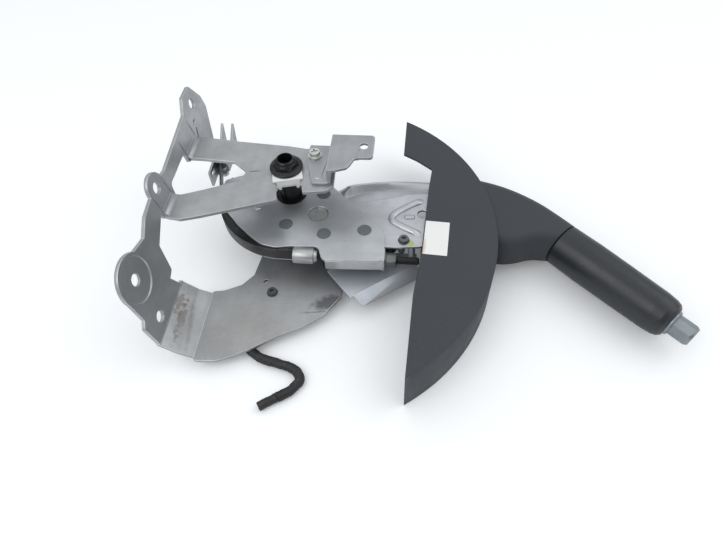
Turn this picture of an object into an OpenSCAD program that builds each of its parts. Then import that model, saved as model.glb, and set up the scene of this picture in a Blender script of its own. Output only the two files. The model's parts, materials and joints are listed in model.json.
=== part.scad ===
// Parking brake lever: a stamped bracket carries a pivot tube, and a pressed steel lever
// with a plastic shield, neck and grip swings on it. The lever's sector winds a steel strap
// that draws a cable equalizer, and a button in the grip lifts a pawl off a toothed sector.
//
// The lever lies on its side. Z points up along the pivot axis, with zero on the top face of
// the bracket's upper cheek. X points from the mounting flange towards the grip.

/* [Bracket] */
// Thickness of the stamped bracket sheet
sheet_t = 3; // [2.5:0.1:3.5]
// Clear height between the bracket's two cheeks
cheek_gap = 56; // [54:0.5:62]
// From the pivot axis to the flange's inner face, level with the upper cheek
flange_reach = 85; // [84:0.5:92]
// Outward lean of the flange from square
flange_lean = 12; // [6:0.5:14]
// Diameter of the flange's bolt holes
flange_hole_d = 9; // [7:0.5:10]
// Depth of the round recess in the flange's largest ear
ear_recess = 1; // [0.5:0.1:1.4]
// Width of the slot in the upper cheek that takes the pivot bush
slot_w = 20.4; // [20:0.2:22]
// Angle between that slot and the flange
slot_turn = 14; // [8:1:18]

/* [Pivot] */
// Bore through the hollow pivot tube
pivot_bore_d = 12; // [10:0.5:13]
// Outer diameter of the pivot tube between the cheeks
pivot_d = 18; // [17:0.2:18.4]
// Diameter of the tube's threaded upper end
pivot_end_d = 15; // [14.4:0.2:16]
// How far the tube stands above the upper cheek
pivot_rise = 11.5; // [10:0.5:14]
// Radial running clearance of the lever's hub, the pawl and the equalizer on their pins
run_gap = 0.05; // [0.02:0.01:0.08]
// Radial gap where a fixed piece sits in its hole
seat_gap = 0.05; // [0.02:0.01:0.1]
// Diameter of the pivot nut's flange
nut_flange_d = 27; // [25:0.5:28]
// Width across the pivot nut's flats
nut_af = 18.4; // [18:0.2:19]

/* [Tab bracket] */
// Thickness of the tab bracket's sheet
tab_t = 2.5; // [2:0.1:3]
// Height of the raised tab's top above the upper cheek
tab_rise = 15; // [12:0.5:18]
// Diameter of the tab's hole
tab_hole_d = 7; // [5:0.5:9]

/* [Lever] */
// From the upper cheek's top down to the sector plate's top
sector_drop = 28; // [26:0.5:29]
// Thickness of the sector plate
sector_t = 2.5; // [2:0.1:3]
// Radius of the sector plate's round edge
sector_r = 56; // [54:0.5:57]
// Thickness of the lever's pressed sheet
arm_t = 2; // [1.6:0.1:2.4]
// Depth of the lever's pressed channel
arm_depth = 24; // [22:0.5:24.4]
// Outer diameter of the lever's hub
hub_d = 26; // [24:0.5:28]
// Diameter of the sector rivets' heads
rivet_head_d = 11.5; // [10:0.5:12.5]
// Diameter of the sector rivets' shanks
rivet_d = 7; // [6:0.5:8]

/* [Strap and equalizer] */
// Radius at which the strap's middle lies round the pivot
strap_r = 61; // [60.5:0.5:63]
// Thickness of the strap
strap_t = 1; // [0.8:0.1:1.2]
// Width of the strap
strap_w = 12; // [10:0.5:12.5]
// Angle at which the strap leaves the sector
strap_leave = -165; // [-168:1:-160]
// Length of the strap from the sector to the equalizer pin
strap_run = 60; // [58:1:64]
// Diameter of the equalizer pin
eq_pin_d = 5; // [4.5:0.5:5.5]
// Distance between the middles of the equalizer's two plates
eq_gap = 10; // [10:0.5:11]
// Diameter of the strap's end ferrule
ferrule_d = 13; // [12:0.5:13.5]
// Diameter of the adjuster rod
rod_d = 6; // [5:0.5:6.4]
// Width across the adjuster nut's flats
adj_af = 10; // [9:0.5:11]

/* [Ratchet] */
// Radius at the ratchet's tooth tips
ratchet_r = 70; // [68:0.5:71]
// Depth of a ratchet tooth
tooth_h = 3; // [2:0.2:3.4]
// Number of ratchet teeth
teeth = 13; // [10:1:15]
// Gap between the resting pawl and the tooth tips
pawl_gap = 0.4; // [0.3:0.1:1]
// Diameter of the pawl pin
pawl_pin_d = 8; // [7:0.5:8.5]

/* [Handle] */
// Angle of the grip to the flange's normal
grip_turn = -44.2; // [-50:0.2:-40]
// Diameter of the grip where it meets the neck
grip_d = 35; // [33:0.5:37]
// Diameter of the grip near its end
grip_end_d = 32; // [30:0.5:34]
// Length of the grip
grip_len = 100; // [90:1:110]
// Outer diameter of the handle tube
tube_d = 20; // [19:0.5:21]
// Wall of the handle tube
tube_t = 2; // [1.5:0.1:2.2]
// Width of the neck sleeve at the shield
neck_w = 78; // [74:1:80]
// Height of the neck sleeve
neck_h = 37; // [36:0.5:37.5]
// Wall of the neck sleeve
neck_t = 2.5; // [2:0.1:2.6]
// Width across the release button's flats
button_af = 15.4; // [14:0.2:16]
// How far the button stands out of the grip
button_out = 17; // [14:0.5:20]
// Travel of the release button
button_travel = 5; // [4:0.5:5]
// Diameter of the release rod
release_d = 5; // [4:0.5:5.5]

/* [Shield] */
// Radius of the shield's curved wall
shield_r = 155.8; // [154:0.2:158]
// Wall of the shield
shield_t = 2; // [1.6:0.1:2.4]
// Height of the shield
shield_h = 44.5; // [44:0.5:46]
// Width of the blank label
label_w = 19; // [15:0.5:22]
// Length of the blank label
label_l = 34; // [28:0.5:36]

/* [Switch lead] */
// Diameter of the lead's sheath
lead_d = 8; // [6:0.5:8.4]
// Diameter of the bare end of the lead
lead_core_d = 6; // [4:0.5:6.5]
// Length of the bare end of the lead
lead_bare = 15; // [10:0.5:20]

/* [Hidden] */
$fn = 64;
eps = 0.01;
// levels of the bracket's faces
low_top = -sheet_t - cheek_gap;
low_bot = low_top - sheet_t;
floor_z = low_bot - 9;
// levels of the lever's faces
sector_top = -sector_drop;
web_top = sector_top - sector_t;
web_bot = web_top - arm_t;
arm_bot = web_top - arm_depth;
plate_top = arm_bot + 3.5;
skirt_end = 127;
// the pivot and its hub
pivot_r = pivot_d / 2;
hub_r = hub_d / 2;
hub_bot = low_top + 0.5;
// the flange's directions
lean_n = [cos(flange_lean), 0, sin(flange_lean)];
flange_foot = -44;
// flange bolt holes, across and up the flange from the pivot's level
bolt_top = [54, 21];
bolt_mid = [-45, 19];
bolt_ear = [-118.5, 2];
bolt_low = [-126, -34];
// the strap's line
strap_z = sector_top - 7;
leave_pt = [strap_r * cos(strap_leave), strap_r * sin(strap_leave)];
leave_dir = [sin(strap_leave), -cos(strap_leave)];
eq_pos = leave_pt + strap_run * leave_dir;
eq_bot = strap_z - strap_w / 2 - 5;
eq_top = sector_top + 8;
// the rod and its lug on the sector plate
rod_y = -strap_r;
lug_x = 84;
// the grip's line
grip_z = web_top - 17.5;
grip_at = [199, 0, grip_z];
grip_dir = [cos(grip_turn), sin(grip_turn)];
grip_start = 37;
grip_stop = grip_start + grip_len;
tube_stop = grip_stop - 6;
neck_z = grip_z + 0.5;
// the pawl
pawl_pos = [76, -44];
pawl_bot = low_top + 0.4;
pawl_h = 3.2;
pawl_tail = pawl_pos + 22 * [-grip_dir[1], grip_dir[0]];
ratchet_h = 4;
tooth_step = 2.6;
ratchet_from = -54;
// the release rod's foot beside the pawl's tail
foot_pos = pawl_tail + (3.5 + release_d / 2 + 0.4) * grip_dir;
// the shield
shield_at = [15.6, -38];
shield_top = floor_z + shield_h;
// sector rivets, seen from above
rivet_at = [[1.3, -34.9], [33.8, -43.1], [66, -37.5], [27.8, 0.6]];
// the lead's route on the floor
lead_z = floor_z + lead_d / 2;
lead_route = [[-33, -110.1], [-33, -116], [-22, -126], [-7, -137], [8, -141], [21, -145], [27, -153], [21, -162.5], [12.5, -168.2]];
lead_last = lead_route[len(lead_route) - 1];
lead_way = (lead_last - lead_route[len(lead_route) - 2]) / norm(lead_last - lead_route[len(lead_route) - 2]);

// A bar of round section between two points
module bar(a, b, r) {
    v = b - a;
    l = norm(v);
    translate(a) rotate([0, acos(v[2] / l), atan2(v[1], v[0])]) cylinder(h = l, r = r);
}

// A round tube along a level route: a ring of n points at each of its points, square to its way
function way(p, i) = let (v = p[min(i + 1, len(p) - 1)] - p[max(i - 1, 0)]) v / norm(v);
function ring(p, i, r, n) = let (w = way(p, i))
    [for (k = [0:n - 1]) p[i] + r * [-w[1] * cos(360 * k / n), w[0] * cos(360 * k / n), sin(360 * k / n)]];
module tube(p, r, n) {
    m = len(p) - 1;
    polyhedron(points = [for (i = [0:m]) each ring(p, i, r, n)], faces = [
        [for (k = [0:n - 1]) k], [for (k = [n - 1:-1:0]) m * n + k],
        for (i = [0:m - 1]) for (k = [0:n - 1]) [i * n + k, (i + 1) * n + k, (i + 1) * n + (k + 1) % n],
        for (i = [0:m - 1]) for (k = [0:n - 1]) [i * n + k, (i + 1) * n + (k + 1) % n, i * n + (k + 1) % n]]);
}

// A sheet of thickness t lying on height z, cut to the outline of its children
module sheet_at(z, t) {
    translate([0, 0, z]) linear_extrude(height = t) children();
}

// An outline with its outer corners rounded
module soft(r) {
    offset(r = r, $fn = 24) offset(delta = -r) children();
}

// Places its children on the flange: local X is the inner normal, Y runs along, Z up the flange
module on_flange() {
    translate([-flange_reach, 0, 0]) rotate([0, -flange_lean, 0]) children();
}

// Places its children on the grip's line, with Z along it towards the button
module on_grip(t) {
    translate(grip_at) rotate([0, 0, grip_turn]) rotate([0, 90, 0]) translate([0, 0, t]) children();
}

// A flat wedge from the pivot between two angles
module wedge(a, b, r) {
    polygon([[0, 0], for (i = [0:8]) [r * cos(a + (b - a) * i / 8), r * sin(a + (b - a) * i / 8)]]);
}

// A ring piece round the pivot between two radii and two angles
module arc_band(r1, r2, a, b) {
    intersection() {
        difference() {
            circle(r = r2, $fn = 160);
            circle(r = r1, $fn = 160);
        }
        wedge(a, b, 2 * r2);
    }
}

// The flange's outline: a strip along the upper cheek, three ears and a tail to the lower cheek
module flange_outline() {
    difference() {
        union() {
            soft(3) polygon([[36, -sheet_t], [44, -19], [57, -19], [72, 5], [72, 16], [62, 33], [45, 33],
                [34, 24], [-26, 19], [-40, 22], [-74, 18], [-88, 11], [-108, 16], [-138, 4], [-138.5, -20],
                [-144, -24], [-144, flange_foot - 3], [-88, flange_foot - 3], [-94, -30], [-87, -28],
                [-81, -6], [-60, 4], [-57, -sheet_t]]);
            translate(bolt_mid) circle(r = 12);
            translate(bolt_ear) circle(r = 20);
        }
        for (p = [bolt_top, bolt_mid, bolt_ear, bolt_low]) translate(p) circle(d = flange_hole_d);
        soft(4) polygon([[7, -10], [7, 7], [-29, 7], [-34, -10]]);
        translate([43.5, 11]) circle(d = 2.5);
        translate([39, 2]) rotate([0, 0, 55]) square([9, 2], center = true);
    }
}

// The open side of the bend between the lower cheek and the flange, seen along Y
module bend_room() {
    polygon([[-20, low_top], [-54.5, low_top], [-65, low_top + 5],
        [-flange_reach - flange_foot * tan(flange_lean), flange_foot],
        [-flange_reach, 0], [-20, 0]]);
}

// The round inner corner between the upper cheek and the flange, seen along Y
module bend_corner(r) {
    cx = -flange_reach + (r - r * sin(flange_lean)) / cos(flange_lean);
    difference() {
        polygon([[-flange_reach - 1, -1], [cx, -1], [cx, r],
            [-flange_reach - r * tan(flange_lean) - 0.5, r]]);
        translate([cx, r]) circle(r = r, $fn = 48);
    }
}

module upper_cheek_outline() {
    difference() {
        soft(3) polygon([[-flange_reach - 1.5, 36], [-70, 34.5], [-47, 31.5], [-2, 27.5], [13, 25], [26, 28],
            [39, 27.5], [40.5, -17], [35, -23], [20, -25], [4, -27], [-2, -34.5], [-58, -54.5],
            [-73, -59], [-flange_reach - 1.5, -57]]);
        soft(3) polygon([[-flange_reach - 8, 10], [-73, 8.5], [-45, 6], [-33, -4], [-35, -15], [-61, -26],
            [-79, -33], [-flange_reach - 8, -33]]);
        rotate([0, 0, slot_turn]) {
            circle(d = slot_w);
            translate([-slot_w / 2, -60]) square([slot_w, 60]);
        }
        translate([21.5, 14]) circle(d = 5.2);
    }
}

module lower_cheek_outline() {
    difference() {
        union() {
            soft(4) polygon([[-56, -147.5], [-38, -146.5], [-25, -141], [-10, -132.5], [5, -122], [22, -113],
                [38, -101], [50, -82], [54, -52], [48, -16], [28, 14], [0, 24], [-20, 14], [-22.5, -46],
                [-25, -65.5], [-33, -76], [-46, -82.5], [-56, -84]]);
            circle(r = 24);
        }
        circle(r = pivot_r + seat_gap);
        translate([-13.5, -71.5]) circle(d = 4);
        translate([-6.3, -82]) circle(d = 5.2);
        for (a = [-50, -22]) rotate([0, 0, a]) translate([38, 0]) circle(d = 6 + 2 * seat_gap);
    }
}

module mounting_bracket() color([0.55, 0.56, 0.57]) {
    sheet_at(-sheet_t, sheet_t) upper_cheek_outline();
    sheet_at(low_bot, sheet_t) lower_cheek_outline();
    difference() {
        on_flange() translate([-sheet_t, 0, 0]) rotate([90, 0, 90])
            linear_extrude(height = sheet_t) flange_outline();
        on_flange() translate([0, bolt_ear[0], bolt_ear[1]]) rotate([0, 90, 0])
            translate([0, 0, -ear_recess]) cylinder(h = 5, r = 17);
    }
    translate([0, -86, 0]) rotate([90, 0, 0]) linear_extrude(height = 58.5) intersection() {
        difference() {
            offset(delta = sheet_t) bend_room();
            bend_room();
        }
        polygon([[-55, low_bot - 5], [-55, low_top + 1], [-60, flange_foot + 1], [-110, flange_foot + 1],
            [-110, low_bot - 5]]);
    }
    for (s = [[33.5, 25], [-34.5, 21]])
        translate([0, s[0], 0]) rotate([90, 0, 0]) linear_extrude(height = s[1]) bend_corner(4);
}

module pivot_tube() color([0.1, 0.1, 0.11]) rotate_extrude() difference() {
    polygon([[0, low_bot - 3], [14, low_bot - 3], [14, low_bot], [pivot_r, low_bot], [pivot_r, 1.5],
        [pivot_end_d / 2, 1.5], [pivot_end_d / 2, pivot_rise - 1], [pivot_end_d / 2 - 1, pivot_rise], [0, pivot_rise]]);
    translate([-1, low_bot - 10]) square([pivot_bore_d / 2 + 1, 150]);
}

// The bush's outline: a round with a straight end that fills the slot, widened by w for a flange
module bush_outline(w) {
    circle(r = slot_w / 2 - seat_gap + w);
    rotate([0, 0, slot_turn]) translate([-slot_w / 2 + 0.5 - w, -15]) square([slot_w - 1 + 2 * w, 15]);
}

module pivot_bush() color([0.92, 0.92, 0.9]) difference() {
    union() {
        sheet_at(-sheet_t - 5, sheet_t + 5) bush_outline(0);
        sheet_at(-sheet_t - 5, 4.7) bush_outline(2.4);
        sheet_at(0, 1.8) bush_outline(2.4);
    }
    translate([0, 0, -20]) cylinder(h = 40, r = pivot_r + seat_gap);
    rotate([0, 0, slot_turn]) {
        translate([-6, -16, -20]) cube([12, 3.5, 16]);
        for (s = [-1, 1]) translate([s * 9.4 - 1, -16, -20]) cube([2, 3, 14]);
    }
}

module pivot_nut() color([0.09, 0.09, 0.1]) difference() {
    union() {
        translate([0, 0, 1.8]) cylinder(h = 1.6, d = nut_flange_d);
        translate([0, 0, 3.4]) cylinder(h = 1.4, d1 = nut_flange_d, d2 = nut_af + 2);
        translate([0, 0, 3.4]) intersection() {
            cylinder(h = 5, d = nut_af / cos(30), $fn = 6);
            cylinder(h = 5, d1 = nut_af + 4.5, d2 = nut_af - 0.5);
        }
        translate([0, 0, 8]) cylinder(h = 1.6, d1 = nut_af - 0.6, d2 = nut_af - 2.2);
    }
    cylinder(h = 20, d = pivot_end_d + 2 * seat_gap);
}

module tab_outline_base() {
    difference() {
        soft(2) polygon([[15.5, 27], [37, 27], [37, -17], [23.5, -17.5], [17, 4]]);
        translate([21.5, 14]) circle(d = 5.2);
    }
}

module tab_outline_top() {
    difference() {
        union() {
            polygon([[35.5, 26.5], [60, 26.5], [60, -0.5], [56, -1.5], [53.5, -8], [51, -12], [43, -15], [35.5, -16]]);
            soft(3) polygon([[50, 26.5], [70.5, 26.5], [70.5, 0], [50, -0.5]]);
        }
        translate([62.5, 13.5]) circle(d = tab_hole_d);
    }
}

module tab_bracket() color([0.56, 0.57, 0.58]) {
    sheet_at(0, tab_t) tab_outline_base();
    sheet_at(tab_rise - tab_t, tab_t) tab_outline_top();
    translate([35.5, -16, 0]) cube([tab_t, 42.5, tab_rise]);
    translate([27.8, -9.4, tab_t]) cylinder(h = 0.5, d = 6);
}

module tab_screw() color([0.82, 0.82, 0.8]) difference() {
    translate([21.5, 14, 0]) {
        translate([0, 0, -sheet_t - 4]) cylinder(h = sheet_t + 4 + tab_t + 2, d = 5);
        translate([0, 0, tab_t]) cylinder(h = 1.2, d = 11);
        translate([0, 0, tab_t + 1.2]) intersection() {
            cylinder(h = 3.6, d = 9.6, $fn = 6);
            cylinder(h = 3.6, d1 = 11.5, d2 = 8.4);
        }
    }
    for (a = [20, 110]) translate([21.5, 14, tab_t + 3.4]) rotate([0, 0, a])
        translate([-3, -0.7, 0]) cube([6, 1.4, 4]);
}

module ratchet_sector() color([0.3, 0.3, 0.31]) difference() {
    sheet_at(low_top, ratchet_h) union() {
        arc_band(28, ratchet_r - tooth_h, ratchet_from - 4, ratchet_from + teeth * tooth_step + 5);
        for (i = [0:teeth - 1]) rotate([0, 0, ratchet_from + i * tooth_step])
            polygon([[ratchet_r - tooth_h - 1, -2.2], [ratchet_r - tooth_h - 0.2, -2.2], [ratchet_r, 0.4], [ratchet_r, 0.9],
                [ratchet_r - tooth_h - 0.2, 1.2], [ratchet_r - tooth_h - 1, 1.2]]);
    }
    for (a = [-50, -22]) rotate([0, 0, a]) translate([38, 0, low_top - 1]) cylinder(h = 20, d = 6 + 2 * seat_gap);
}

module ratchet_rivet(a) color([0.45, 0.45, 0.46]) rotate([0, 0, a]) translate([38, 0, 0]) {
    translate([0, 0, low_bot]) cylinder(h = sheet_t + ratchet_h, d = 6);
    translate([0, 0, low_bot - 2]) cylinder(h = 2, d1 = 8, d2 = 11);
    translate([0, 0, low_top + ratchet_h]) cylinder(h = 0.8, d1 = 10, d2 = 9);
}

module switch_body() color([0.12, 0.12, 0.13]) difference() {
    translate([0, 0, floor_z]) linear_extrude(height = low_bot - floor_z) soft(3)
        polygon([[-50, -110], [-24, -110], [-24, -100], [4, -90], [4, -73], [-17, -73], [-30, -84], [-50, -86]]);
    translate([-6.3, -82, floor_z - 1]) cylinder(h = 20, d = 4 + 2 * seat_gap);
}

module switch_screw() color([0.5, 0.5, 0.5]) difference() {
    translate([-6.3, -82, 0]) {
        translate([0, 0, low_top - 9]) cylinder(h = 9.5, d = 4);
        translate([0, 0, low_top]) cylinder(h = 2.6, d1 = 9, d2 = 7.4);
    }
    translate([-6.3, -82, low_top + 1]) cylinder(h = 5, d = 4, $fn = 6);
}

module switch_lead() color([0.09, 0.09, 0.09])
    tube([for (p = lead_route) [p[0], p[1], lead_z]], lead_d / 2, 12);

module switch_lead_end() color([0.14, 0.13, 0.13]) {
    a = lead_last + 0.2 * lead_way;
    b = lead_last + lead_bare * lead_way;
    bar([a[0], a[1], lead_z], [b[0], b[1], lead_z], lead_core_d / 2);
}

module lever_web_outline() {
    union() {
        circle(r = 27);
        soft(4) polygon([[-12, -40], [4, -47], [30, -52], [86, -52], [100, -49], [116, -44], [150, -30], [150, 4],
            [116, 8], [83, 20], [34, 23], [0, 25], [-22, 10]]);
    }
}

// Where the lever's pressed channel keeps its side walls
module lever_skirt_room() {
    polygon([[24, 40], [24, 14], [90, 0], [112, -20], [112, -60], [skirt_end, -60], [skirt_end, 40]]);
}

module lever_arm() color([0.68, 0.69, 0.7]) difference() {
    union() {
        sheet_at(web_bot, arm_t) lever_web_outline();
        bar([32, 17.2, web_top - 3], [84, 14, web_top - 3], 4.5);
        bar([81, 14.6, web_top - 3], [118, 1.2, web_top - 3], 4.5);
        bar([84, -21.4, web_top - 1.2], [103, -4, web_top - 1.2], 3);
        bar([87.7, -18, web_top - 1.2], [112, -36, web_top - 1.2], 2.8);
    }
    translate([-60, -90, web_bot - 20]) cube([240, 160, 20]);
    translate([0, 0, -100]) cylinder(h = 100, r = hub_r + seat_gap);
    translate([40, 6.5, web_top - 0.8]) rotate([0, 0, -3.5]) cube([62, 4.5, 5]);
    translate([111, -13, -100]) cylinder(h = 100, d = 8);
    translate([99, -19, web_top - 0.8]) rotate([0, 0, 35]) translate([-4, -1.2, 0]) cube([8, 2.4, 5]);
    for (p = rivet_at) translate([p[0], p[1], -100]) cylinder(h = 100, d = rivet_d + 2 * seat_gap);
    translate([pawl_pos[0], pawl_pos[1], -100]) cylinder(h = 100, d = pawl_pin_d + 2 * seat_gap);
    translate([98, -44, -100]) cylinder(h = 100, d = 5 + 2 * seat_gap);
}

// One of the channel's side walls, welded under the web: s is 1 for the far wall and -1 for the near one
module lever_skirt(s) color([0.64, 0.65, 0.66]) sheet_at(arm_bot, web_bot - arm_bot) intersection() {
    difference() {
        lever_web_outline();
        offset(delta = -arm_t) lever_web_outline();
    }
    lever_skirt_room();
    translate([0, s > 0 ? -12 : -112]) square([200, 100]);
}

module lever_lower_plate() color([0.66, 0.68, 0.71]) difference() {
    union() {
        sheet_at(plate_top - arm_t, arm_t) polygon([[37, -63], [58.5, -88], [109, -52], [109, -41], [60, -41], [45, -52]]);
        translate([58.5, -88, plate_top]) rotate([0, 0, atan2(36, 50.5)]) rotate([30, 0, 0])
            translate([0, -11, -arm_t]) linear_extrude(height = arm_t) soft(2) polygon([[6, 0], [3, 11], [3, 12], [62, 12], [62, 0]]);
        translate([62, -50, plate_top]) cylinder(h = web_bot - plate_top, d = 8);
        translate([104.5, -43, plate_top]) cylinder(h = web_bot - plate_top, d = 6);
    }
    translate([pawl_pos[0], pawl_pos[1], -100]) cylinder(h = 100, d = pawl_pin_d + 2 * seat_gap);
}

module lever_hub() color([0.5, 0.5, 0.51]) difference() {
    translate([0, 0, hub_bot]) cylinder(h = sector_top - hub_bot, r = hub_r);
    translate([0, 0, -100]) cylinder(h = 100, r = pivot_r + run_gap);
}

module sector_outline() {
    union() {
        soft(3) polygon([[0, 25], [18, 22], [34, 10], [76, -32.5], [84, -54], [lug_x, -66], [81, -67.5], [40, -67.5],
            [35.5, -65], [31.5, -55], [28, -53], [6, -53], [-20, -20], [-24, 0]]);
        intersection() {
            circle(r = sector_r, $fn = 160);
            polygon([[0, 25], [-70, 30], [-70, -80], [12, -80], [12, -30]]);
        }
    }
}

module sector_plate() color([0.6, 0.61, 0.63]) difference() {
    union() {
        sheet_at(web_top, sector_t) sector_outline();
        translate([41, -67.5, sector_top - 9]) cube([lug_x - 41, 2, 8]);
        translate([lug_x - 2.5, -67.5, strap_z - 6.5]) cube([2.5, 13.5, sector_top - strap_z + 5.5]);
    }
    translate([0, 0, -100]) cylinder(h = 100, r = hub_r + seat_gap);
    for (p = rivet_at) translate([p[0], p[1], -100]) cylinder(h = 100, d = rivet_d + 2 * seat_gap);
    translate([26, -22, -100]) cylinder(h = 100, d = 17);
    translate([-26, -18, -100]) cylinder(h = 100, d = 4 + 2 * seat_gap);
    translate([lug_x - 5, rod_y, strap_z]) rotate([0, 90, 0]) cylinder(h = 10, d = rod_d + 0.6);
}

module sector_rim() color([0.2, 0.2, 0.21]) difference() {
    sheet_at(strap_z - strap_w / 2 - 0.5, web_top - strap_z + strap_w / 2 + 0.5)
        arc_band(sector_r - 4, strap_r - strap_t / 2 - 0.3, strap_leave - 33, -94);
}

module sector_rivet(p) color([0.3, 0.31, 0.32]) translate([p[0], p[1], 0]) {
    translate([0, 0, web_bot - 1.6]) cylinder(h = arm_t + sector_t + 1.6, d = rivet_d);
    translate([0, 0, sector_top]) cylinder(h = 0.5, d1 = rivet_head_d, d2 = rivet_head_d - 0.8);
    translate([0, 0, web_bot - 1.8]) cylinder(h = 1.8, d1 = 8, d2 = 10);
}

module sector_stud() color([0.75, 0.75, 0.72]) difference() {
    translate([26, -22, web_top]) cylinder(h = sector_t - 0.6, d = 15.5);
    translate([10, -18.5, web_top + 0.4]) rotate([0, 0, 6]) cube([30, 20, 10]);
}

module sector_pin() color([0.75, 0.75, 0.74]) translate([-26, -18, 0]) {
    translate([0, 0, web_top]) cylinder(h = sector_t, d = 4);
    translate([0, 0, sector_top]) cylinder(h = 0.8, d1 = 5.6, d2 = 4);
}

module strap() color([0.62, 0.62, 0.61]) difference() {
    sheet_at(strap_z - strap_w / 2, strap_w) union() {
        arc_band(strap_r - strap_t / 2, strap_r + strap_t / 2, strap_leave, -90);
        translate([-0.2, -strap_r - strap_t / 2]) square([11.2, strap_t]);
        translate(leave_pt) rotate([0, 0, atan2(leave_dir[1], leave_dir[0])])
            translate([-0.2, -strap_t / 2]) square([strap_run - eq_pin_d / 2, strap_t]);
        translate(eq_pos) circle(d = eq_pin_d + 2.2);
    }
    translate([eq_pos[0], eq_pos[1], -100]) cylinder(h = 100, d = eq_pin_d + 0.6);
}

module ferrule() color([0.78, 0.78, 0.77]) difference() {
    translate([11.2, rod_y, strap_z]) rotate([0, 90, 0]) {
        cylinder(h = 16.5, d = ferrule_d);
        translate([0, 0, 16.5]) cylinder(h = 3, d1 = ferrule_d - 2, d2 = ferrule_d - 5);
    }
    translate([22, rod_y, strap_z]) rotate([0, 90, 0]) cylinder(h = 20, d = rod_d + 2 * seat_gap);
}

module adjuster_rod() color([0.12, 0.12, 0.12]) translate([22, rod_y, strap_z]) rotate([0, 90, 0]) {
    cylinder(h = 88, d = rod_d);
    translate([0, 0, 88]) cylinder(h = 1, d1 = rod_d, d2 = rod_d - 2);
}

module adjuster_washer() color([0.5, 0.5, 0.5]) translate([lug_x, rod_y, strap_z]) rotate([0, 90, 0]) difference() {
    cylinder(h = 1.2, d = 12.4);
    translate([0, 0, -1]) cylinder(h = 4, d = rod_d + 2 * seat_gap);
}

module adjuster_nut() color([0.2, 0.2, 0.21]) translate([lug_x + 1.2, rod_y, strap_z]) rotate([0, 90, 0]) difference() {
    intersection() {
        cylinder(h = 8, d = adj_af / cos(30), $fn = 6);
        cylinder(h = 8, d1 = adj_af + 5, d2 = adj_af + 0.4);
    }
    translate([0, 0, -1]) cylinder(h = 12, d = rod_d + 2 * seat_gap);
}

module arm_screw() color([0.35, 0.35, 0.34]) difference() {
    translate([98, -44, 0]) {
        translate([0, 0, web_bot - 3]) cylinder(h = arm_t + 4, d = 5);
        translate([0, 0, web_top]) cylinder(h = 2.6, d1 = 9.5, d2 = 7.5);
    }
    translate([98, -44, web_top + 1.2]) cylinder(h = 5, d = 4, $fn = 6);
}

module pawl_pin() color([0.55, 0.55, 0.55]) translate([pawl_pos[0], pawl_pos[1], 0])
    translate([0, 0, pawl_bot]) cylinder(h = web_top - pawl_bot, d = pawl_pin_d);

module neck_box_outline() {
    e = 9.5 * [-grip_dir[1], grip_dir[0]];
    g = [grip_at[0], grip_at[1]];
    polygon([[skirt_end + 1, 5], [150, 6], [178, 22], [190, 18.5], g + e, g - e, [180, -16], [skirt_end + 1, -26]]);
}

module neck_box() color([0.5, 0.51, 0.52]) difference() {
    sheet_at(grip_z - 11, web_bot - grip_z + 11) neck_box_outline();
    sheet_at(grip_z - 9, web_bot - grip_z + 7) difference() {
        union() {
            offset(delta = -arm_t) neck_box_outline();
            translate([120, -23]) square([14, 24]);
        }
    }
    on_grip(-20) cylinder(h = 40, d = 13);
}

module handle_tube() color([0.5, 0.51, 0.52]) on_grip(0) difference() {
    cylinder(h = tube_stop, d = tube_d);
    translate([0, 0, -1]) cylinder(h = tube_stop + 2, d = tube_d - 2 * tube_t);
}

// One section of the neck: a slab of width w and height h with corners of radius r, square to the direction a
module neck_slab(c, a, w, h, r, th) {
    translate(c) rotate([0, 0, a]) rotate([90, 0, 90]) linear_extrude(height = th)
        offset(r = r, $fn = 40) square([w - 2 * r, h - 2 * r], center = true);
}

// The neck's stations from the shield to the grip: middle, direction, width, height and corner
neck_line = [[160, -2, neck_z, 14, neck_w, neck_h, 13], [178, 0.5, neck_z, 3, neck_w - 10, neck_h, 13.5],
    [196, -3, neck_z, -11, neck_w - 20, neck_h, 14.5], [212, -13.5, grip_z + 0.2, -29, neck_w - 33, neck_h - 0.5, 16],
    [grip_at[0] + (grip_start - 1) * grip_dir[0], grip_at[1] + (grip_start - 1) * grip_dir[1], grip_z, grip_turn,
        grip_d, grip_d, grip_d / 2 - 0.01]];

// A station between number i and the next, on a smooth curve through all of them
function neck_at(i, t) = let (a = neck_line[max(i - 1, 0)], b = neck_line[i], c = neck_line[min(i + 1, 4)], d = neck_line[min(i + 2, 4)])
    0.5 * (2 * b + (c - a) * t + (2 * a - 5 * b + 4 * c - d) * t * t + (3 * b - a - 3 * c + d) * t * t * t);

module neck_section(k, cut) {
    v = neck_at(floor(k / 2), k / 2 - floor(k / 2));
    neck_slab([v[0], v[1], v[2]], v[3], v[4] - 2 * cut, v[5] - 2 * cut, v[6] - cut, 1);
}

module neck_loft(cut) {
    for (k = [0:7]) hull() {
        neck_section(k, cut);
        neck_section(k + 1, cut);
    }
}

module neck_sleeve() color([0.2, 0.21, 0.22]) difference() {
    neck_loft(0);
    neck_loft(neck_t);
    neck_slab([160 - 2 * cos(14), -2 - 2 * sin(14), neck_z], 14, neck_w - 2 * neck_t + 0.8, neck_h - 2 * neck_t + 0.8,
        13 - neck_t + 0.4, 4);
    on_grip(grip_start - 3) cylinder(h = 10, d = grip_d - 2 * neck_t + 0.8, $fn = 48);
}

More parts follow.
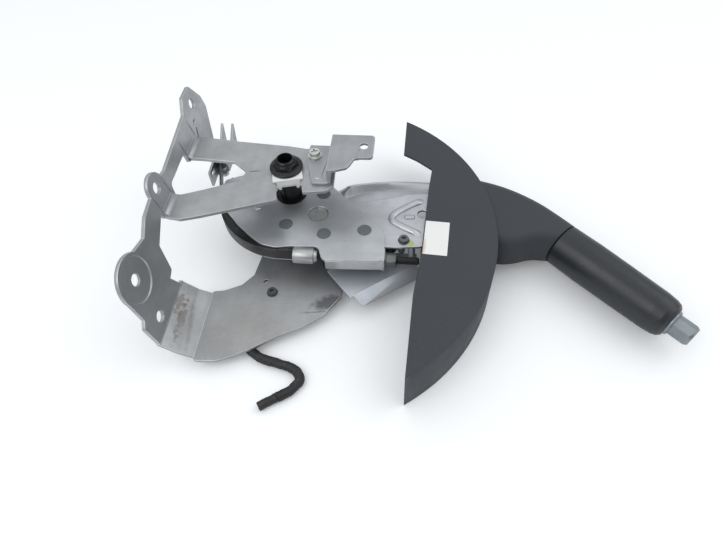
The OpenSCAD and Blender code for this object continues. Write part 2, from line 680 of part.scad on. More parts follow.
module grip() color([0.17, 0.18, 0.19]) on_grip(0) rotate_extrude($fn = 96) polygon([
    [tube_d / 2 + seat_gap, grip_start + 0.3], [grip_d / 2 - 0.8, grip_start + 0.3], [grip_d / 2, grip_start + 1.4],
    [grip_d / 2 + 0.3, grip_start + 25], [grip_d / 2 - 0.3, grip_start + 55], [grip_end_d / 2 + 0.4, grip_stop - 14],
    [grip_end_d / 2 - 0.5, grip_stop - 6], [grip_end_d / 2 - 1.8, grip_stop - 2.5], [grip_end_d / 2 - 4, grip_stop - 0.5],
    [grip_end_d / 2 - 5.5, grip_stop], [button_af / 2 / cos(22.5) + 0.5, grip_stop],
    [button_af / 2 / cos(22.5) + 0.5, tube_stop], [tube_d / 2 + seat_gap, tube_stop]]);

module button_collar() color([0.75, 0.76, 0.77]) on_grip(grip_stop) rotate_extrude() polygon([
    [button_af / 2 / cos(22.5) + 0.4, 0], [10.2, 0], [10.2, 1], [9.6, 1.8], [button_af / 2 / cos(22.5) + 0.4, 1.8]]);

module shield_outline() {
    intersection() {
        translate(shield_at) circle(r = shield_r, $fn = 240);
        polygon([[104.5, -180], [107.5, -98], [112, -61], [116.5, 15], [118.3, 34], [104.9, 44.8], [93, 52],
            [93.5, 120], [220, 120], [220, -180]]);
    }
}

module shield_wall() {
    difference() {
        shield_outline();
        translate(shield_at) circle(r = shield_r - shield_t, $fn = 240);
    }
}

module console_shield() color([0.22, 0.23, 0.24]) difference() {
    union() {
        sheet_at(floor_z, shield_h) shield_wall();
        sheet_at(shield_top - shield_t, shield_t) shield_outline();
        sheet_at(floor_z, shield_t) shield_outline();
        translate([121, -33, web_top]) linear_extrude(height = shield_top - shield_t - web_top + 0.1) polygon([[0, 0], [22, 5], [22, 30], [0, 30]]);
    }
    neck_slab([150, -4.5, neck_z], 14, neck_w + 0.6, neck_h + 0.6, 13, 40);
}

module label() color([0.95, 0.95, 0.94]) translate([112.9, -60, shield_top]) rotate([0, 0, -3.4])
    linear_extrude(height = 0.3) soft(0.5) square([label_w, label_l]);

module release_button() color([0.68, 0.69, 0.7]) on_grip(0) {
    translate([0, 0, tube_stop - 24]) cylinder(h = 30.5, d = tube_d - 2 * tube_t - 1.2);
    translate([0, 0, tube_stop + 6.2]) intersection() {
        cylinder(h = button_out - 0.2, d = button_af / cos(22.5), $fn = 8);
        translate([0, 0, -1]) cylinder(h = button_out + 0.8, d1 = button_af + 18, d2 = button_af - 1.4);
    }
}

module release_rod() color([0.55, 0.55, 0.56]) union() {
    foot = [foot_pos[0], foot_pos[1], grip_z];
    g = [grip_dir[0], grip_dir[1], 0];
    bend = [138, -12, grip_z];
    elbow = grip_at - 12.5 * g;
    u = (elbow - bend) / norm(elbow - bend);
    translate([foot_pos[0], foot_pos[1], pawl_bot + 0.2]) cylinder(h = grip_z - pawl_bot + release_d * 0.6, d = release_d + 1);
    tube([foot, bend - 4 * (bend - foot) / norm(bend - foot), bend + 4 * u, elbow - 5 * u, elbow - 1.3 * (u - g), elbow + 5 * g,
        grip_at + (tube_stop - 24) * g], release_d / 2, 16);
}

module pawl() color([0.4, 0.4, 0.41]) difference() {
    sheet_at(pawl_bot, pawl_h) union() {
        translate(pawl_pos) circle(d = pawl_pin_d + 8);
        translate(pawl_tail) circle(r = 3);
        polygon([pawl_pos + [3, -6], pawl_tail + [2.8, -1], pawl_tail + [-2.8, 1], pawl_pos + [-6, 4]]);
        intersection() {
            difference() {
                polygon([pawl_pos + [-2, -8], pawl_pos + [-2, 7], [54, -40], [44, -48], [46, -58]]);
                circle(r = ratchet_r + pawl_gap, $fn = 200);
            }
            wedge(-51, -20, 120);
        }
    }
    translate([pawl_pos[0], pawl_pos[1], -100]) cylinder(h = 100, d = pawl_pin_d + 2 * run_gap);
}

module equalizer_pin() color([0.7, 0.7, 0.7]) translate([eq_pos[0], eq_pos[1], 0]) {
    translate([0, 0, eq_bot - 1]) cylinder(h = eq_top - eq_bot - 8, d = eq_pin_d);
    translate([0, 0, eq_bot - 3]) cylinder(h = 2, d = eq_pin_d + 4);
}

module equalizer() color([0.45, 0.46, 0.47]) difference() {
    translate([eq_pos[0], eq_pos[1], 0]) {
        for (s = [-1, 1]) translate([s * eq_gap / 2 - 1, 0, 0]) rotate([90, 0, 90]) linear_extrude(height = 2) difference() {
            polygon([[s > 0 ? 0 : -20, eq_bot], [34, eq_bot], [38, eq_top - 1], [37, eq_top], [24, eq_top - 9], [4, eq_top - 9],
                [s > 0 ? 0 : -20, eq_top - 10]]);
            translate([-13, (eq_bot + eq_top) / 2 - 3]) square([7, 5], center = true);
            translate([30, eq_bot + 7]) circle(d = 5);
        }
        translate([-eq_gap / 2, -6, eq_bot]) cube([eq_gap, 38, 2]);
    }
    translate([eq_pos[0], eq_pos[1], -100]) cylinder(h = 100, d = eq_pin_d + 2 * run_gap);
}

mounting_bracket();
pivot_tube();
pivot_bush();
pivot_nut();
tab_bracket();
tab_screw();
ratchet_sector();
ratchet_rivet(-50);  // ratchet_rivet_near
ratchet_rivet(-22);  // ratchet_rivet_far
switch_body();
switch_screw();
switch_lead();
switch_lead_end();
lever_arm();
lever_skirt(1);  // lever_skirt_far
lever_skirt(-1);  // lever_skirt_near
lever_lower_plate();
lever_hub();
sector_plate();
sector_rim();
sector_rivet(rivet_at[0]);  // sector_rivet_1
sector_rivet(rivet_at[1]);  // sector_rivet_2
sector_rivet(rivet_at[2]);  // sector_rivet_3
sector_rivet(rivet_at[3]);  // sector_rivet_4
sector_stud();
sector_pin();
strap();
ferrule();
adjuster_rod();
adjuster_washer();
adjuster_nut();
arm_screw();
pawl_pin();
neck_box();
handle_tube();
neck_sleeve();
grip();
button_collar();
console_shield();
label();
release_button();
release_rod();
pawl();
equalizer_pin();
equalizer();
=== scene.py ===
"""Looks of a parking brake lever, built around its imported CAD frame.

The frame is that of the CAD part: Z points up along the lever's pivot and is zero on the top face of the
bracket's upper cheek, and X points from the mounting flange to the grip. Meshes, spots and lamps are in
metres. The classes that draw pieces hold their numbers in millimetres and scale them by MM.
"""

from __future__ import annotations

import json
import logging
import math
from dataclasses import dataclass
from enum import Enum
from typing import Sequence

import bpy
import numpy as np
from bpy.types import Material, Node, NodeSocket, NodeTree, Object
from mathutils import Matrix

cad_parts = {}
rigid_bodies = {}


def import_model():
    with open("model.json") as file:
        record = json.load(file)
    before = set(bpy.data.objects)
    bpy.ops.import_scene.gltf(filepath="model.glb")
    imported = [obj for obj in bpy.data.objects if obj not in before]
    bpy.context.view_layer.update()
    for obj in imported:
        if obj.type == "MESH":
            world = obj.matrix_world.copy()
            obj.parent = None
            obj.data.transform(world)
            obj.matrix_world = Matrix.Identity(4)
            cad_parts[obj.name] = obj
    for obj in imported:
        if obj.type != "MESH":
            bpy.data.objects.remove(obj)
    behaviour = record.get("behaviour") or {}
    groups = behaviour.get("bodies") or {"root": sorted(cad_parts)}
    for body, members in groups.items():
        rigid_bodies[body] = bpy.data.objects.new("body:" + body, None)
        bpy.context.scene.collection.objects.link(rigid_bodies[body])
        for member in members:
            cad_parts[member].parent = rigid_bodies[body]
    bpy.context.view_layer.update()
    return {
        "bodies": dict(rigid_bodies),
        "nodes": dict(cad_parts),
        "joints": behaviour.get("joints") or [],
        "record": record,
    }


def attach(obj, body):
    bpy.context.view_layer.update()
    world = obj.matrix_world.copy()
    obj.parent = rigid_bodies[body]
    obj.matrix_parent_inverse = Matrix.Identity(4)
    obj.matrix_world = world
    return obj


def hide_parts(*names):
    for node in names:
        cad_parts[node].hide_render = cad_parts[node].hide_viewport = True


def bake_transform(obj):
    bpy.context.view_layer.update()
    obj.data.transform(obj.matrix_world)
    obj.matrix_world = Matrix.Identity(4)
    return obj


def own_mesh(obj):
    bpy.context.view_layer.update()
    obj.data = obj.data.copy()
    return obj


LOG = logging.getLogger("parking_brake")
MM = 0.001
ORIGIN = (0.0, 0.0, 0.0)
UP = np.array([0.0, 0.0, 1.0])
CRISP = 35.0
Colour = tuple[float, float, float]
Point = tuple[float, float, float]
Flat = tuple[float, float]


class Body(Enum):
    """The moving bodies of the CAD frame."""

    BRACKET = "bracket"
    LEVER = "lever"
    YOKE = "yoke"


class Way(Enum):
    """The direction in which a sheet was rolled or a bar was turned."""

    ALONG_X = (9.0, 700.0, 700.0)
    ALONG_Y = (700.0, 9.0, 700.0)
    EVEN = (260.0, 260.0, 260.0)


class Tree:
    """Writes nodes and links into one node tree."""

    def __init__(self, tree: NodeTree) -> None:
        """Keeps the tree that the nodes go into."""
        self.tree = tree

    def add(self, kind: str, feeds: dict | None = None, **settings) -> Node:
        """Adds one node.

        Args:
            kind: Blender's name of the node type.
            feeds: Values or sockets for its inputs, by input name or number.
            **settings: Properties of the node.

        Returns:
            The new node.
        """
        node = self.tree.nodes.new(kind)
        for key, value in settings.items():
            setattr(node, key, value)
        for key, value in (feeds or {}).items():
            self.feed(node.inputs[key], value)
        return node

    def feed(self, socket: NodeSocket, value) -> None:
        """Links a socket to the input, or sets the input's own value."""
        if isinstance(value, NodeSocket):
            self.tree.links.new(value, socket)
        else:
            socket.default_value = value

    def math(self, operation: str, a, b=0.0, clamp: bool = False) -> NodeSocket:
        """Returns the result of one Math node."""
        return self.add("ShaderNodeMath", {0: a, 1: b}, operation=operation, use_clamp=clamp).outputs[0]

    def spread(self, value, low: float, high: float, to_low: float = 0.0,
            to_high: float = 1.0) -> NodeSocket:
        """Returns the value mapped from low..high to to_low..to_high, eased and clamped."""
        feeds = {0: value, 1: low, 2: high, 3: to_low, 4: to_high}
        return self.add("ShaderNodeMapRange", feeds, interpolation_type="SMOOTHSTEP").outputs[0]

    def noise(self, vector, scale, detail: float, rough: float = 0.5) -> NodeSocket:
        """Returns the value of one Noise Texture node."""
        feeds = {"Vector": vector, "Scale": scale, "Detail": detail, "Roughness": rough}
        return self.add("ShaderNodeTexNoise", feeds).outputs[0]

    def blend(self, share, a, b) -> NodeSocket:
        """Returns the colour between a and b at that share."""
        return self.add("ShaderNodeMix", {0: share, 6: rgba(a), 7: rgba(b)}, data_type="RGBA").outputs[2]


def rgba(value):
    """Returns a colour with its alpha, or the socket that was given."""
    if isinstance(value, NodeSocket):
        return value
    return (*value, 1.0)


def start_group(name: str, inputs: dict[str, float | Point], outputs: Sequence[str]) -> tuple:
    """Makes an empty shader node group.

    Args:
        name: Name of the group.
        inputs: Default of each input, a number or a vector.
        outputs: Names of its outputs, all numbers.

    Returns:
        The group, its writer, the sockets that bring its inputs and those that take its outputs.
    """
    group = bpy.data.node_groups.new(name, "ShaderNodeTree")
    for label, value in inputs.items():
        kind = "NodeSocketFloat" if isinstance(value, float) else "NodeSocketVector"
        group.interface.new_socket(label, in_out="INPUT", socket_type=kind).default_value = value
    for label in outputs:
        group.interface.new_socket(label, in_out="OUTPUT", socket_type="NodeSocketFloat")
    tree = Tree(group)
    return group, tree, tree.add("NodeGroupInput").outputs, tree.add("NodeGroupOutput").inputs


class Effects:
    """The surface effects that several finishes share, each a shader node group."""

    def __init__(self) -> None:
        """Builds every group once."""
        self.marks = self._marks()
        self.rolled = self._rolled()
        self.moulded = self._moulded()
        self.patch = self._patch()
        self.thread = self._thread()

    def _marks(self) -> NodeTree:
        """Smudges, thin scratches and small specks that handling leaves on bare metal."""
        inputs = {"Vector": ORIGIN, "Smudge Scale": 45.0}
        group, tree, given, result = start_group("handling_marks", inputs, ["Smudge", "Scratch", "Speck"])
        vector = given["Vector"]
        cloud = tree.noise(vector, given["Smudge Scale"], 5.0, 0.62)
        tree.feed(result["Smudge"], tree.spread(cloud, 0.34, 0.68))
        lines = None
        for turn, stretch in ((0.5, (14.0, 1900.0, 500.0)), (-0.9, (22.0, 2300.0, 500.0))):
            turned = tree.add("ShaderNodeMapping", {"Vector": vector, "Rotation": (0.0, 0.3, turn),
                "Scale": stretch})
            line = tree.spread(tree.noise(turned.outputs[0], 1.0, 1.0), 0.69, 0.78)
            lines = line if lines is None else tree.math("MAXIMUM", lines, line)
        where = tree.spread(tree.noise(vector, 26.0, 2.0), 0.48, 0.66)
        tree.feed(result["Scratch"], tree.math("MULTIPLY", lines, where))
        cells = tree.add("ShaderNodeTexVoronoi", {"Vector": vector, "Scale": 95.0, "Randomness": 1.0})
        dots = tree.spread(cells.outputs["Distance"], 0.05, 0.085, 1.0, 0.0)
        tone = tree.add("ShaderNodeSeparateColor", {0: cells.outputs["Color"]})
        tree.feed(result["Speck"], tree.math("MULTIPLY", dots, tree.spread(tone.outputs[0], 0.62, 0.7)))
        return group

    def _rolled(self) -> NodeTree:
        """Fine streaks along the way a sheet was rolled."""
        inputs = {"Vector": ORIGIN, "Stretch": Way.ALONG_X.value}
        group, tree, given, result = start_group("rolled_grain", inputs, ["Height", "Tone"])
        drawn = tree.add("ShaderNodeMapping", {"Vector": given["Vector"], "Scale": given["Stretch"]})
        tree.feed(result["Height"], tree.noise(drawn.outputs[0], 1.0, 3.0, 0.6))
        tree.feed(result["Tone"], tree.spread(tree.noise(drawn.outputs[0], 0.18, 2.0), 0.3, 0.7))
        return group

    def _moulded(self) -> NodeTree:
        """The fine pebbled grain and slow mottling of moulded plastic."""
        inputs = {"Vector": ORIGIN, "Scale": 1400.0}
        group, tree, given, result = start_group("moulded_grain", inputs, ["Height", "Tone", "Dust"])
        vector = given["Vector"]
        cells = tree.add("ShaderNodeTexVoronoi", {"Vector": vector, "Scale": given["Scale"]},
            feature="SMOOTH_F1")
        pebbles = tree.math("MULTIPLY", tree.noise(vector, given["Scale"], 2.0), 0.6)
        tree.feed(result["Height"], tree.math("ADD", cells.outputs["Distance"], pebbles))
        tree.feed(result["Tone"], tree.spread(tree.noise(vector, 24.0, 4.0, 0.6), 0.32, 0.7))
        grit = tree.spread(tree.noise(vector, 620.0, 2.0), 0.58, 0.72)
        cloud = tree.spread(tree.noise(vector, 17.0, 3.0), 0.42, 0.68)
        tree.feed(result["Dust"], tree.math("MULTIPLY", grit, cloud))
        return group

    def _patch(self) -> NodeTree:
        """A ragged spot at one place: full inside an ellipsoid, fading over its rim."""
        inputs = {"Vector": ORIGIN, "Centre": ORIGIN, "Size": (0.01, 0.01, 0.01), "Turn": 0.0, "Soft": 0.4,
            "Ragged": 0.3}
        group, tree, given, result = start_group("ragged_patch", inputs, ["Mask"])
        moved = tree.add("ShaderNodeVectorMath", {0: given["Vector"], 1: given["Centre"]},
            operation="SUBTRACT")
        turned = tree.add("ShaderNodeVectorRotate", {"Vector": moved.outputs[0], "Angle": given["Turn"]},
            rotation_type="Z_AXIS")
        scaled = tree.add("ShaderNodeVectorMath", {0: turned.outputs[0], 1: given["Size"]},
            operation="DIVIDE")
        reach = tree.add("ShaderNodeVectorMath", {0: scaled.outputs[0]}, operation="LENGTH")
        noise = tree.math("SUBTRACT", tree.noise(given["Vector"], 330.0, 4.0), 0.5)
        uneven = tree.math("MULTIPLY", noise, tree.math("MULTIPLY", given["Ragged"], 4.0))
        edge = tree.math("SUBTRACT", 1.0, tree.math("ADD", reach.outputs["Value"], uneven))
        tree.feed(result["Mask"], tree.math("DIVIDE", edge, given["Soft"], clamp=True))
        return group

    def _thread(self) -> NodeTree:
        """The ridges of a screw thread: a triangle wave of the pitch along one axis."""
        group, tree, given, result = start_group("screw_thread", {"Along": 0.0, "Pitch": 1.0 * MM},
            ["Height"])
        wave = tree.math("PINGPONG", given["Along"], tree.math("MULTIPLY", given["Pitch"], 0.5))
        tree.feed(result["Height"], tree.math("DIVIDE", wave, given["Pitch"]))
        return group


class Surface:
    """One material being written: its tree, its shader and its Object coordinates."""

    def __init__(self, name: str, effects: Effects) -> None:
        """Makes an empty material with a Principled shader."""
        self.material = bpy.data.materials.new(name)
        self.material.use_nodes = True
        self.material.node_tree.nodes.clear()
        self.effects = effects
        self.tree = Tree(self.material.node_tree)
        self.shader = self.tree.add("ShaderNodeBsdfPrincipled")
        end = self.tree.add("ShaderNodeOutputMaterial")
        self.tree.feed(end.inputs["Surface"], self.shader.outputs[0])
        self.place = self.tree.add("ShaderNodeTexCoord").outputs["Object"]

    def group(self, which: NodeTree, **feeds) -> Node:
        """Places a shared effect, with its Vector from Object coordinates where it has one."""
        node = self.tree.tree.nodes.new("ShaderNodeGroup")
        node.node_tree = which
        if "Vector" in node.inputs:
            self.tree.feed(node.inputs["Vector"], self.place)
        for key, value in feeds.items():
            self.tree.feed(node.inputs[key.replace("_", " ")], value)
        return node

    def finish(self, spots: Sequence[Spot], colour, rough, metal=None) -> None:
        """Lays spots over a finish, the lowest first, and feeds the shader with the result."""
        tree = self.tree
        for spot in spots:
            mask = self.group(self.effects.patch, Centre=spot.centre, Size=spot.size, Turn=spot.turn,
                Soft=spot.soft, Ragged=spot.ragged)
            share = tree.math("MULTIPLY", mask.outputs["Mask"], spot.share)
            colour = tree.blend(share, colour, spot.colour)
            rough = tree.add("ShaderNodeMix", {0: share, 2: rough, 3: spot.rough}).outputs[0]
            if metal is not None:
                metal = tree.add("ShaderNodeMix", {0: share, 2: metal, 3: spot.metal}).outputs[0]
        for label, value in (("Base Color", colour), ("Roughness", rough), ("Metallic", metal)):
            if value is not None:
                tree.feed(self.shader.inputs[label], value)

    def bump(self, height, strength: float, depth: float) -> None:
        """Feeds a height to the shader's normal, on top of what is already there."""
        feeds = {"Height": height, "Strength": strength, "Distance": depth}
        normal = self.shader.inputs["Normal"]
        if normal.is_linked:
            feeds["Normal"] = normal.links[0].from_socket
        self.tree.feed(normal, self.tree.add("ShaderNodeBump", feeds).outputs[0])


@dataclass(frozen=True)
class Spot:
    """A stain, a paint mark, a worn place, a painted shade or a painted highlight on one finish."""

    centre: Point
    size: Point
    colour: Colour
    share: float = 1.0
    turn: float = 0.0
    soft: float = 0.4
    ragged: float = 0.25
    rough: float = 0.6
    metal: float = 0.2


@dataclass(frozen=True)
class MetalFinish:
    """Bare or plated steel with rolled grain, smudges, scratches and specks."""

    name: str
    light: Colour
    dark: Colour
    rough: float = 0.36
    metal: float = 0.9
    way: Way = Way.ALONG_X
    smudge_scale: float = 45.0
    scratch: float = 0.5
    speck: float = 0.5
    grain: float = 0.12
    spots: tuple[Spot, ...] = ()
    thread_axis: int = -1
    thread_pitch: float = 1.0 * MM

    def build(self, effects: Effects) -> Material:
        """Writes the material with the shared effects and returns it."""
        surface = Surface(self.name, effects)
        tree = surface.tree
        marks = surface.group(effects.marks, Smudge_Scale=self.smudge_scale)
        rolled = surface.group(effects.rolled, Stretch=self.way.value)
        colour = tree.blend(marks.outputs["Smudge"], self.dark, self.light)
        tone = tree.math("MULTIPLY", rolled.outputs["Tone"], 0.35)
        colour = tree.blend(tone, colour, tuple(c * 0.8 for c in self.light))
        colour = tree.blend(tree.math("MULTIPLY", marks.outputs["Scratch"], self.scratch), colour,
            tuple(min(1.0, c * 1.5) for c in self.light))
        colour = tree.blend(tree.math("MULTIPLY", marks.outputs["Speck"], self.speck), colour,
            tuple(c * 0.35 for c in self.dark))
        rough = tree.math("ADD", tree.math("MULTIPLY", marks.outputs["Smudge"], -0.12), self.rough + 0.08)
        rough = tree.math("ADD", rough, tree.math("MULTIPLY", rolled.outputs["Height"], 0.08))
        surface.finish(self.spots, colour, rough, self.metal)
        surface.bump(rolled.outputs["Height"], self.grain, 0.05 * MM)
        surface.bump(marks.outputs["Scratch"], 0.25 * self.scratch, 0.05 * MM)
        if self.thread_axis >= 0:
            axes = tree.add("ShaderNodeSeparateXYZ", {0: surface.place})
            ridges = surface.group(effects.thread, Along=axes.outputs[self.thread_axis],
                Pitch=self.thread_pitch)
            surface.bump(ridges.outputs["Height"], 0.9, 0.5 * MM)
        return surface.material


@dataclass(frozen=True)
class PlasticFinish:
    """Moulded plastic or rubber with pebbled grain, mottling and a little dust."""

    name: str
    base: Colour
    pale: Colour
    rough: float = 0.5
    scale: float = 1400.0
    grain: float = 0.25
    dust: float = 0.2
    spots: tuple[Spot, ...] = ()

    def build(self, effects: Effects) -> Material:
        """Writes the material with the shared effects and returns it."""
        surface = Surface(self.name, effects)
        tree = surface.tree
        grain = surface.group(effects.moulded, Scale=self.scale)
        colour = tree.blend(tree.math("MULTIPLY", grain.outputs["Tone"], 0.8), self.base, self.pale)
        colour = tree.blend(tree.math("MULTIPLY", grain.outputs["Dust"], self.dust), colour,
            (0.3, 0.3, 0.29))
        rough = tree.math("ADD", tree.math("MULTIPLY", grain.outputs["Tone"], 0.12), self.rough - 0.05)
        surface.finish(self.spots, colour, rough)
        surface.bump(grain.outputs["Height"], self.grain, 0.04 * MM)
        return surface.material


def smooth_between(a, b, c, d, t):
    """Returns the Catmull-Rom curve from b to c at t, with a and d as the knots on either side."""
    return 0.5 * (2 * b + (c - a) * t + (2 * a - 5 * b + 4 * c - d) * t**2 + (3 * b - a - 3 * c + d) * t**3)


def even_steps(line: np.ndarray, count: int) -> np.ndarray:
    """Spreads that many points evenly along a level line."""
    far = np.concatenate([[0.0], np.cumsum(np.linalg.norm(np.diff(line, axis=0), axis=1))])
    even = np.linspace(0.0, far[-1], count)
    return np.column_stack([np.interp(even, far, line[:, k]) for k in range(2)])


def left_of(line: np.ndarray) -> np.ndarray:
    """Returns the direction to the left of a level line at each of its points."""
    step = np.gradient(line, axis=0)
    step /= np.linalg.norm(step, axis=1, keepdims=True)
    return np.column_stack([-step[:, 1], step[:, 0]])


def round_angles(count: int) -> np.ndarray:
    """Returns that many even angles round a circle, in radians."""
    return np.linspace(0.0, 2 * np.pi, count, endpoint=False)


def unit_circle(count: int) -> np.ndarray:
    """Returns that many even points round the circle of radius one."""
    turn = round_angles(count)
    return np.column_stack([np.cos(turn), np.sin(turn)])


def put(name: str, data: bpy.types.ID) -> Object:
    """Adds an object of that data to the scene."""
    made = bpy.data.objects.new(name, data)
    bpy.context.scene.collection.objects.link(made)
    return made


def final_mesh(piece: Object) -> bpy.types.Mesh:
    """Returns a new mesh of a curve or of a piece with its modifiers applied."""
    return bpy.data.meshes.new_from_object(piece.evaluated_get(bpy.context.evaluated_depsgraph_get()))


def grid(name: str, points: np.ndarray, round_rows: bool, capped: bool, material: Material,
        sharp: float = 0.0) -> Object:
    """Makes a smooth shaded piece of quads from a grid of points.

    Args:
        name: Name of the piece.
        points: Array of rows, columns and three coordinates.
        round_rows: True if each row closes on itself.
        capped: True if the first and last row are closed with a fan to their middle.
        material: The finish of the piece.
        sharp: Angle in degrees above which edges stay crisp, or zero where all are smooth.

    Returns:
        The new piece.
    """
    rows, columns = points.shape[:2]
    index = np.arange(rows * columns).reshape(rows, columns)
    right = np.roll(index, -1, axis=1) if round_rows else index[:, 1:]
    left = index if round_rows else index[:, :-1]
    quads = np.stack([left[:-1], right[:-1], right[1:], left[1:]], axis=-1).reshape(-1, 4)
    places = points.reshape(-1, 3)
    faces = quads.tolist()
    if capped:
        places = np.vstack([places, points[0].mean(axis=0), points[-1].mean(axis=0)])
        first, last = rows * columns, rows * columns + 1
        faces += np.stack([right[0], left[0], np.full(left[0].shape, first)], axis=-1).tolist()
        faces += np.stack([left[-1], right[-1], np.full(left[-1].shape, last)], axis=-1).tolist()
    mesh = bpy.data.meshes.new(name)
    mesh.from_pydata(places.tolist(), [], faces)
    mesh.polygons.foreach_set("use_smooth", np.ones(len(mesh.polygons), dtype=bool))
    mesh.materials.append(material)
    if sharp:
        mesh.set_sharp_from_angle(angle=math.radians(sharp))
    return put(name, mesh)


def rounded(outline: list[Flat], radius: float) -> np.ndarray:
    """Rounds the corners of a closed outline."""
    points = np.array(outline, dtype=float)
    loop = []
    for before, here, after in zip(np.roll(points, 1, axis=0), points, np.roll(points, -1, axis=0)):
        back, on = before - here, after - here
        reach = min(radius, 0.45 * np.linalg.norm(back), 0.45 * np.linalg.norm(on))
        start, end = here + back / np.linalg.norm(back) * reach, here + on / np.linalg.norm(on) * reach
        for t in np.linspace(0.0, 1.0, 5):
            loop.append((1 - t) ** 2 * start + 2 * t * (1 - t) * here + t**2 * end)
    return np.array(loop)


def flat_sheet(name: str, outline: list[Flat], radius: float, holes: list[tuple[Flat, float]], low: float,
        high: float, face: Material, edge: Material) -> Object:
    """Makes a flat sheet with round holes and eased edges, from numbers in millimetres.

    Args:
        name: Name of the piece.
        outline: Corners of the outline.
        radius: Rounding of the corners.
        holes: Middle and radius of each hole.
        low: Height of the lower face.
        high: Height of the upper face.
        face: Finish of the faces.
        edge: Finish of the cut edges, lighter than the faces as a painted highlight.

    Returns:
        The new piece.
    """
    ease = 0.3
    curve = bpy.data.curves.new(name, "CURVE")
    curve.dimensions = "2D"
    curve.fill_mode = "BOTH"
    curve.extrude = (high - low) / 2 - ease
    curve.bevel_depth = ease
    curve.bevel_resolution = 1
    curve.offset = -ease
    spin = unit_circle(40)
    for loop in [rounded(outline, radius), *[np.array(middle) + spin * r for middle, r in holes]]:
        spline = curve.splines.new("POLY")
        spline.points.add(len(loop) - 1)
        places = np.column_stack([loop, np.zeros(len(loop)), np.ones(len(loop))])
        spline.points.foreach_set("co", places.astype(np.float32).ravel())
        spline.use_cyclic_u = True
    holder = put(name + "_outline", curve)
    mesh = final_mesh(holder)
    bpy.data.objects.remove(holder)
    mesh.transform(Matrix.Scale(MM, 4) @ Matrix.Translation((0.0, 0.0, (low + high) / 2)))
    mesh.name = name
    mesh.materials.clear()
    mesh.materials.append(face)
    mesh.materials.append(edge)
    for polygon in mesh.polygons:
        polygon.material_index = int(abs(polygon.normal.z) < 0.97)
    return put(name, mesh)


@dataclass
class SwitchLead:
    """The taped lead of the warning switch, lying on the floor, with its bare end."""

    route: tuple[Flat, ...] = ((-33, -110.1), (-33, -116), (-22, -126), (-7, -137), (8, -141), (21, -145),
        (27, -153), (21, -162.5), (12.5, -168.2))
    tip: Flat = (0.04, -176.56)
    height: float = -67.0
    radius: float = 3.9
    core: float = 3.6
    turns: float = 11.0
    step: float = 0.35
    widest: float = 4.0

    def path(self, count: int) -> np.ndarray:
        """Returns that many even points, in metres, on a smooth curve through the lead's route."""
        knots = np.array(self.route)
        knots = np.vstack([2 * knots[0] - knots[1], knots, 2 * knots[-1] - knots[-2]])
        t = np.linspace(0, 1, 40, endpoint=False)[None, :, None]
        a, b, c, d = (knots[i:len(knots) - 3 + i, None, :] for i in range(4))
        curve = np.vstack([smooth_between(a, b, c, d, t).reshape(-1, 2), knots[-2]])
        flat = even_steps(curve, count)
        return np.column_stack([flat, np.full(count, self.height)]) * MM

    def build(self, tape: Material, core: Material) -> list[Object]:
        """Makes the taped lead and its open end.

        The tape's radius rises along each turn of a helix and drops at its edge, with a slow waver.

        Args:
            tape: Finish of the tape.
            core: Finish of the bare end.

        Returns:
            The lead and its end.
        """
        line = self.path(240)
        side = np.column_stack([left_of(line[:, :2]), np.zeros(len(line))])
        angle = round_angles(28)[None, :]
        along = np.linspace(0, 1, len(line))[:, None]
        wrap = np.mod(along * self.turns + angle / (2 * np.pi), 1.0)
        waver = 0.1 * np.sin(9 * along * np.pi + 2 * angle) + 0.06 * np.sin(23 * along * np.pi - angle)
        radius = (self.radius - self.step + self.step * wrap + waver)[..., None] * MM
        radius = np.minimum(radius, self.widest * MM)
        ring = np.cos(angle)[..., None] * side[:, None, :] + np.sin(angle)[..., None] * UP
        lead = grid("lead_tape", (line[:, None, :] + radius * ring)[:, ::-1], True, True, tape)
        end = self._end(line[-1], core)
        for piece, node in ((lead, "switch_lead"), (end, "switch_lead_end")):
            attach(piece, Body.BRACKET.value)
            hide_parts(node)
        return [lead, end]

    def _end(self, start: np.ndarray, core: Material) -> Object:
        """The bare end: a short sleeve turned about the lead's line, open and hollow at its tip."""
        tip = np.array([self.tip[0], self.tip[1], self.height]) * MM
        length = np.linalg.norm(tip - start)
        way = (tip - start) / length
        side = np.array([-way[1], way[0], 0.0])
        far = length / MM
        t = np.array([0.1, 0.6, 2.0, 2.4, 6.0, 6.4, 9.5, far - 0.4, far, far - 0.3, far - 3.5])
        r = np.array([2.6, 2.95, 2.95, 2.8, 2.75, 2.9, 2.85, 2.9, 2.5, 2.1, 1.9]) * self.core / 2.95
        angle = round_angles(32)[None, :]
        lumps = 1 + 0.03 * np.sin(3 * angle + 0.6 * t[:, None]) + 0.02 * np.sin(5 * angle - t[:, None])
        reach = (r[:, None] * lumps)[..., None] * MM
        ring = np.cos(angle)[..., None] * side + np.sin(angle)[..., None] * UP
        points = start + (t * MM)[:, None, None] * way + reach * ring
        return grid("lead_bare_end", points[:, ::-1], True, True, core)


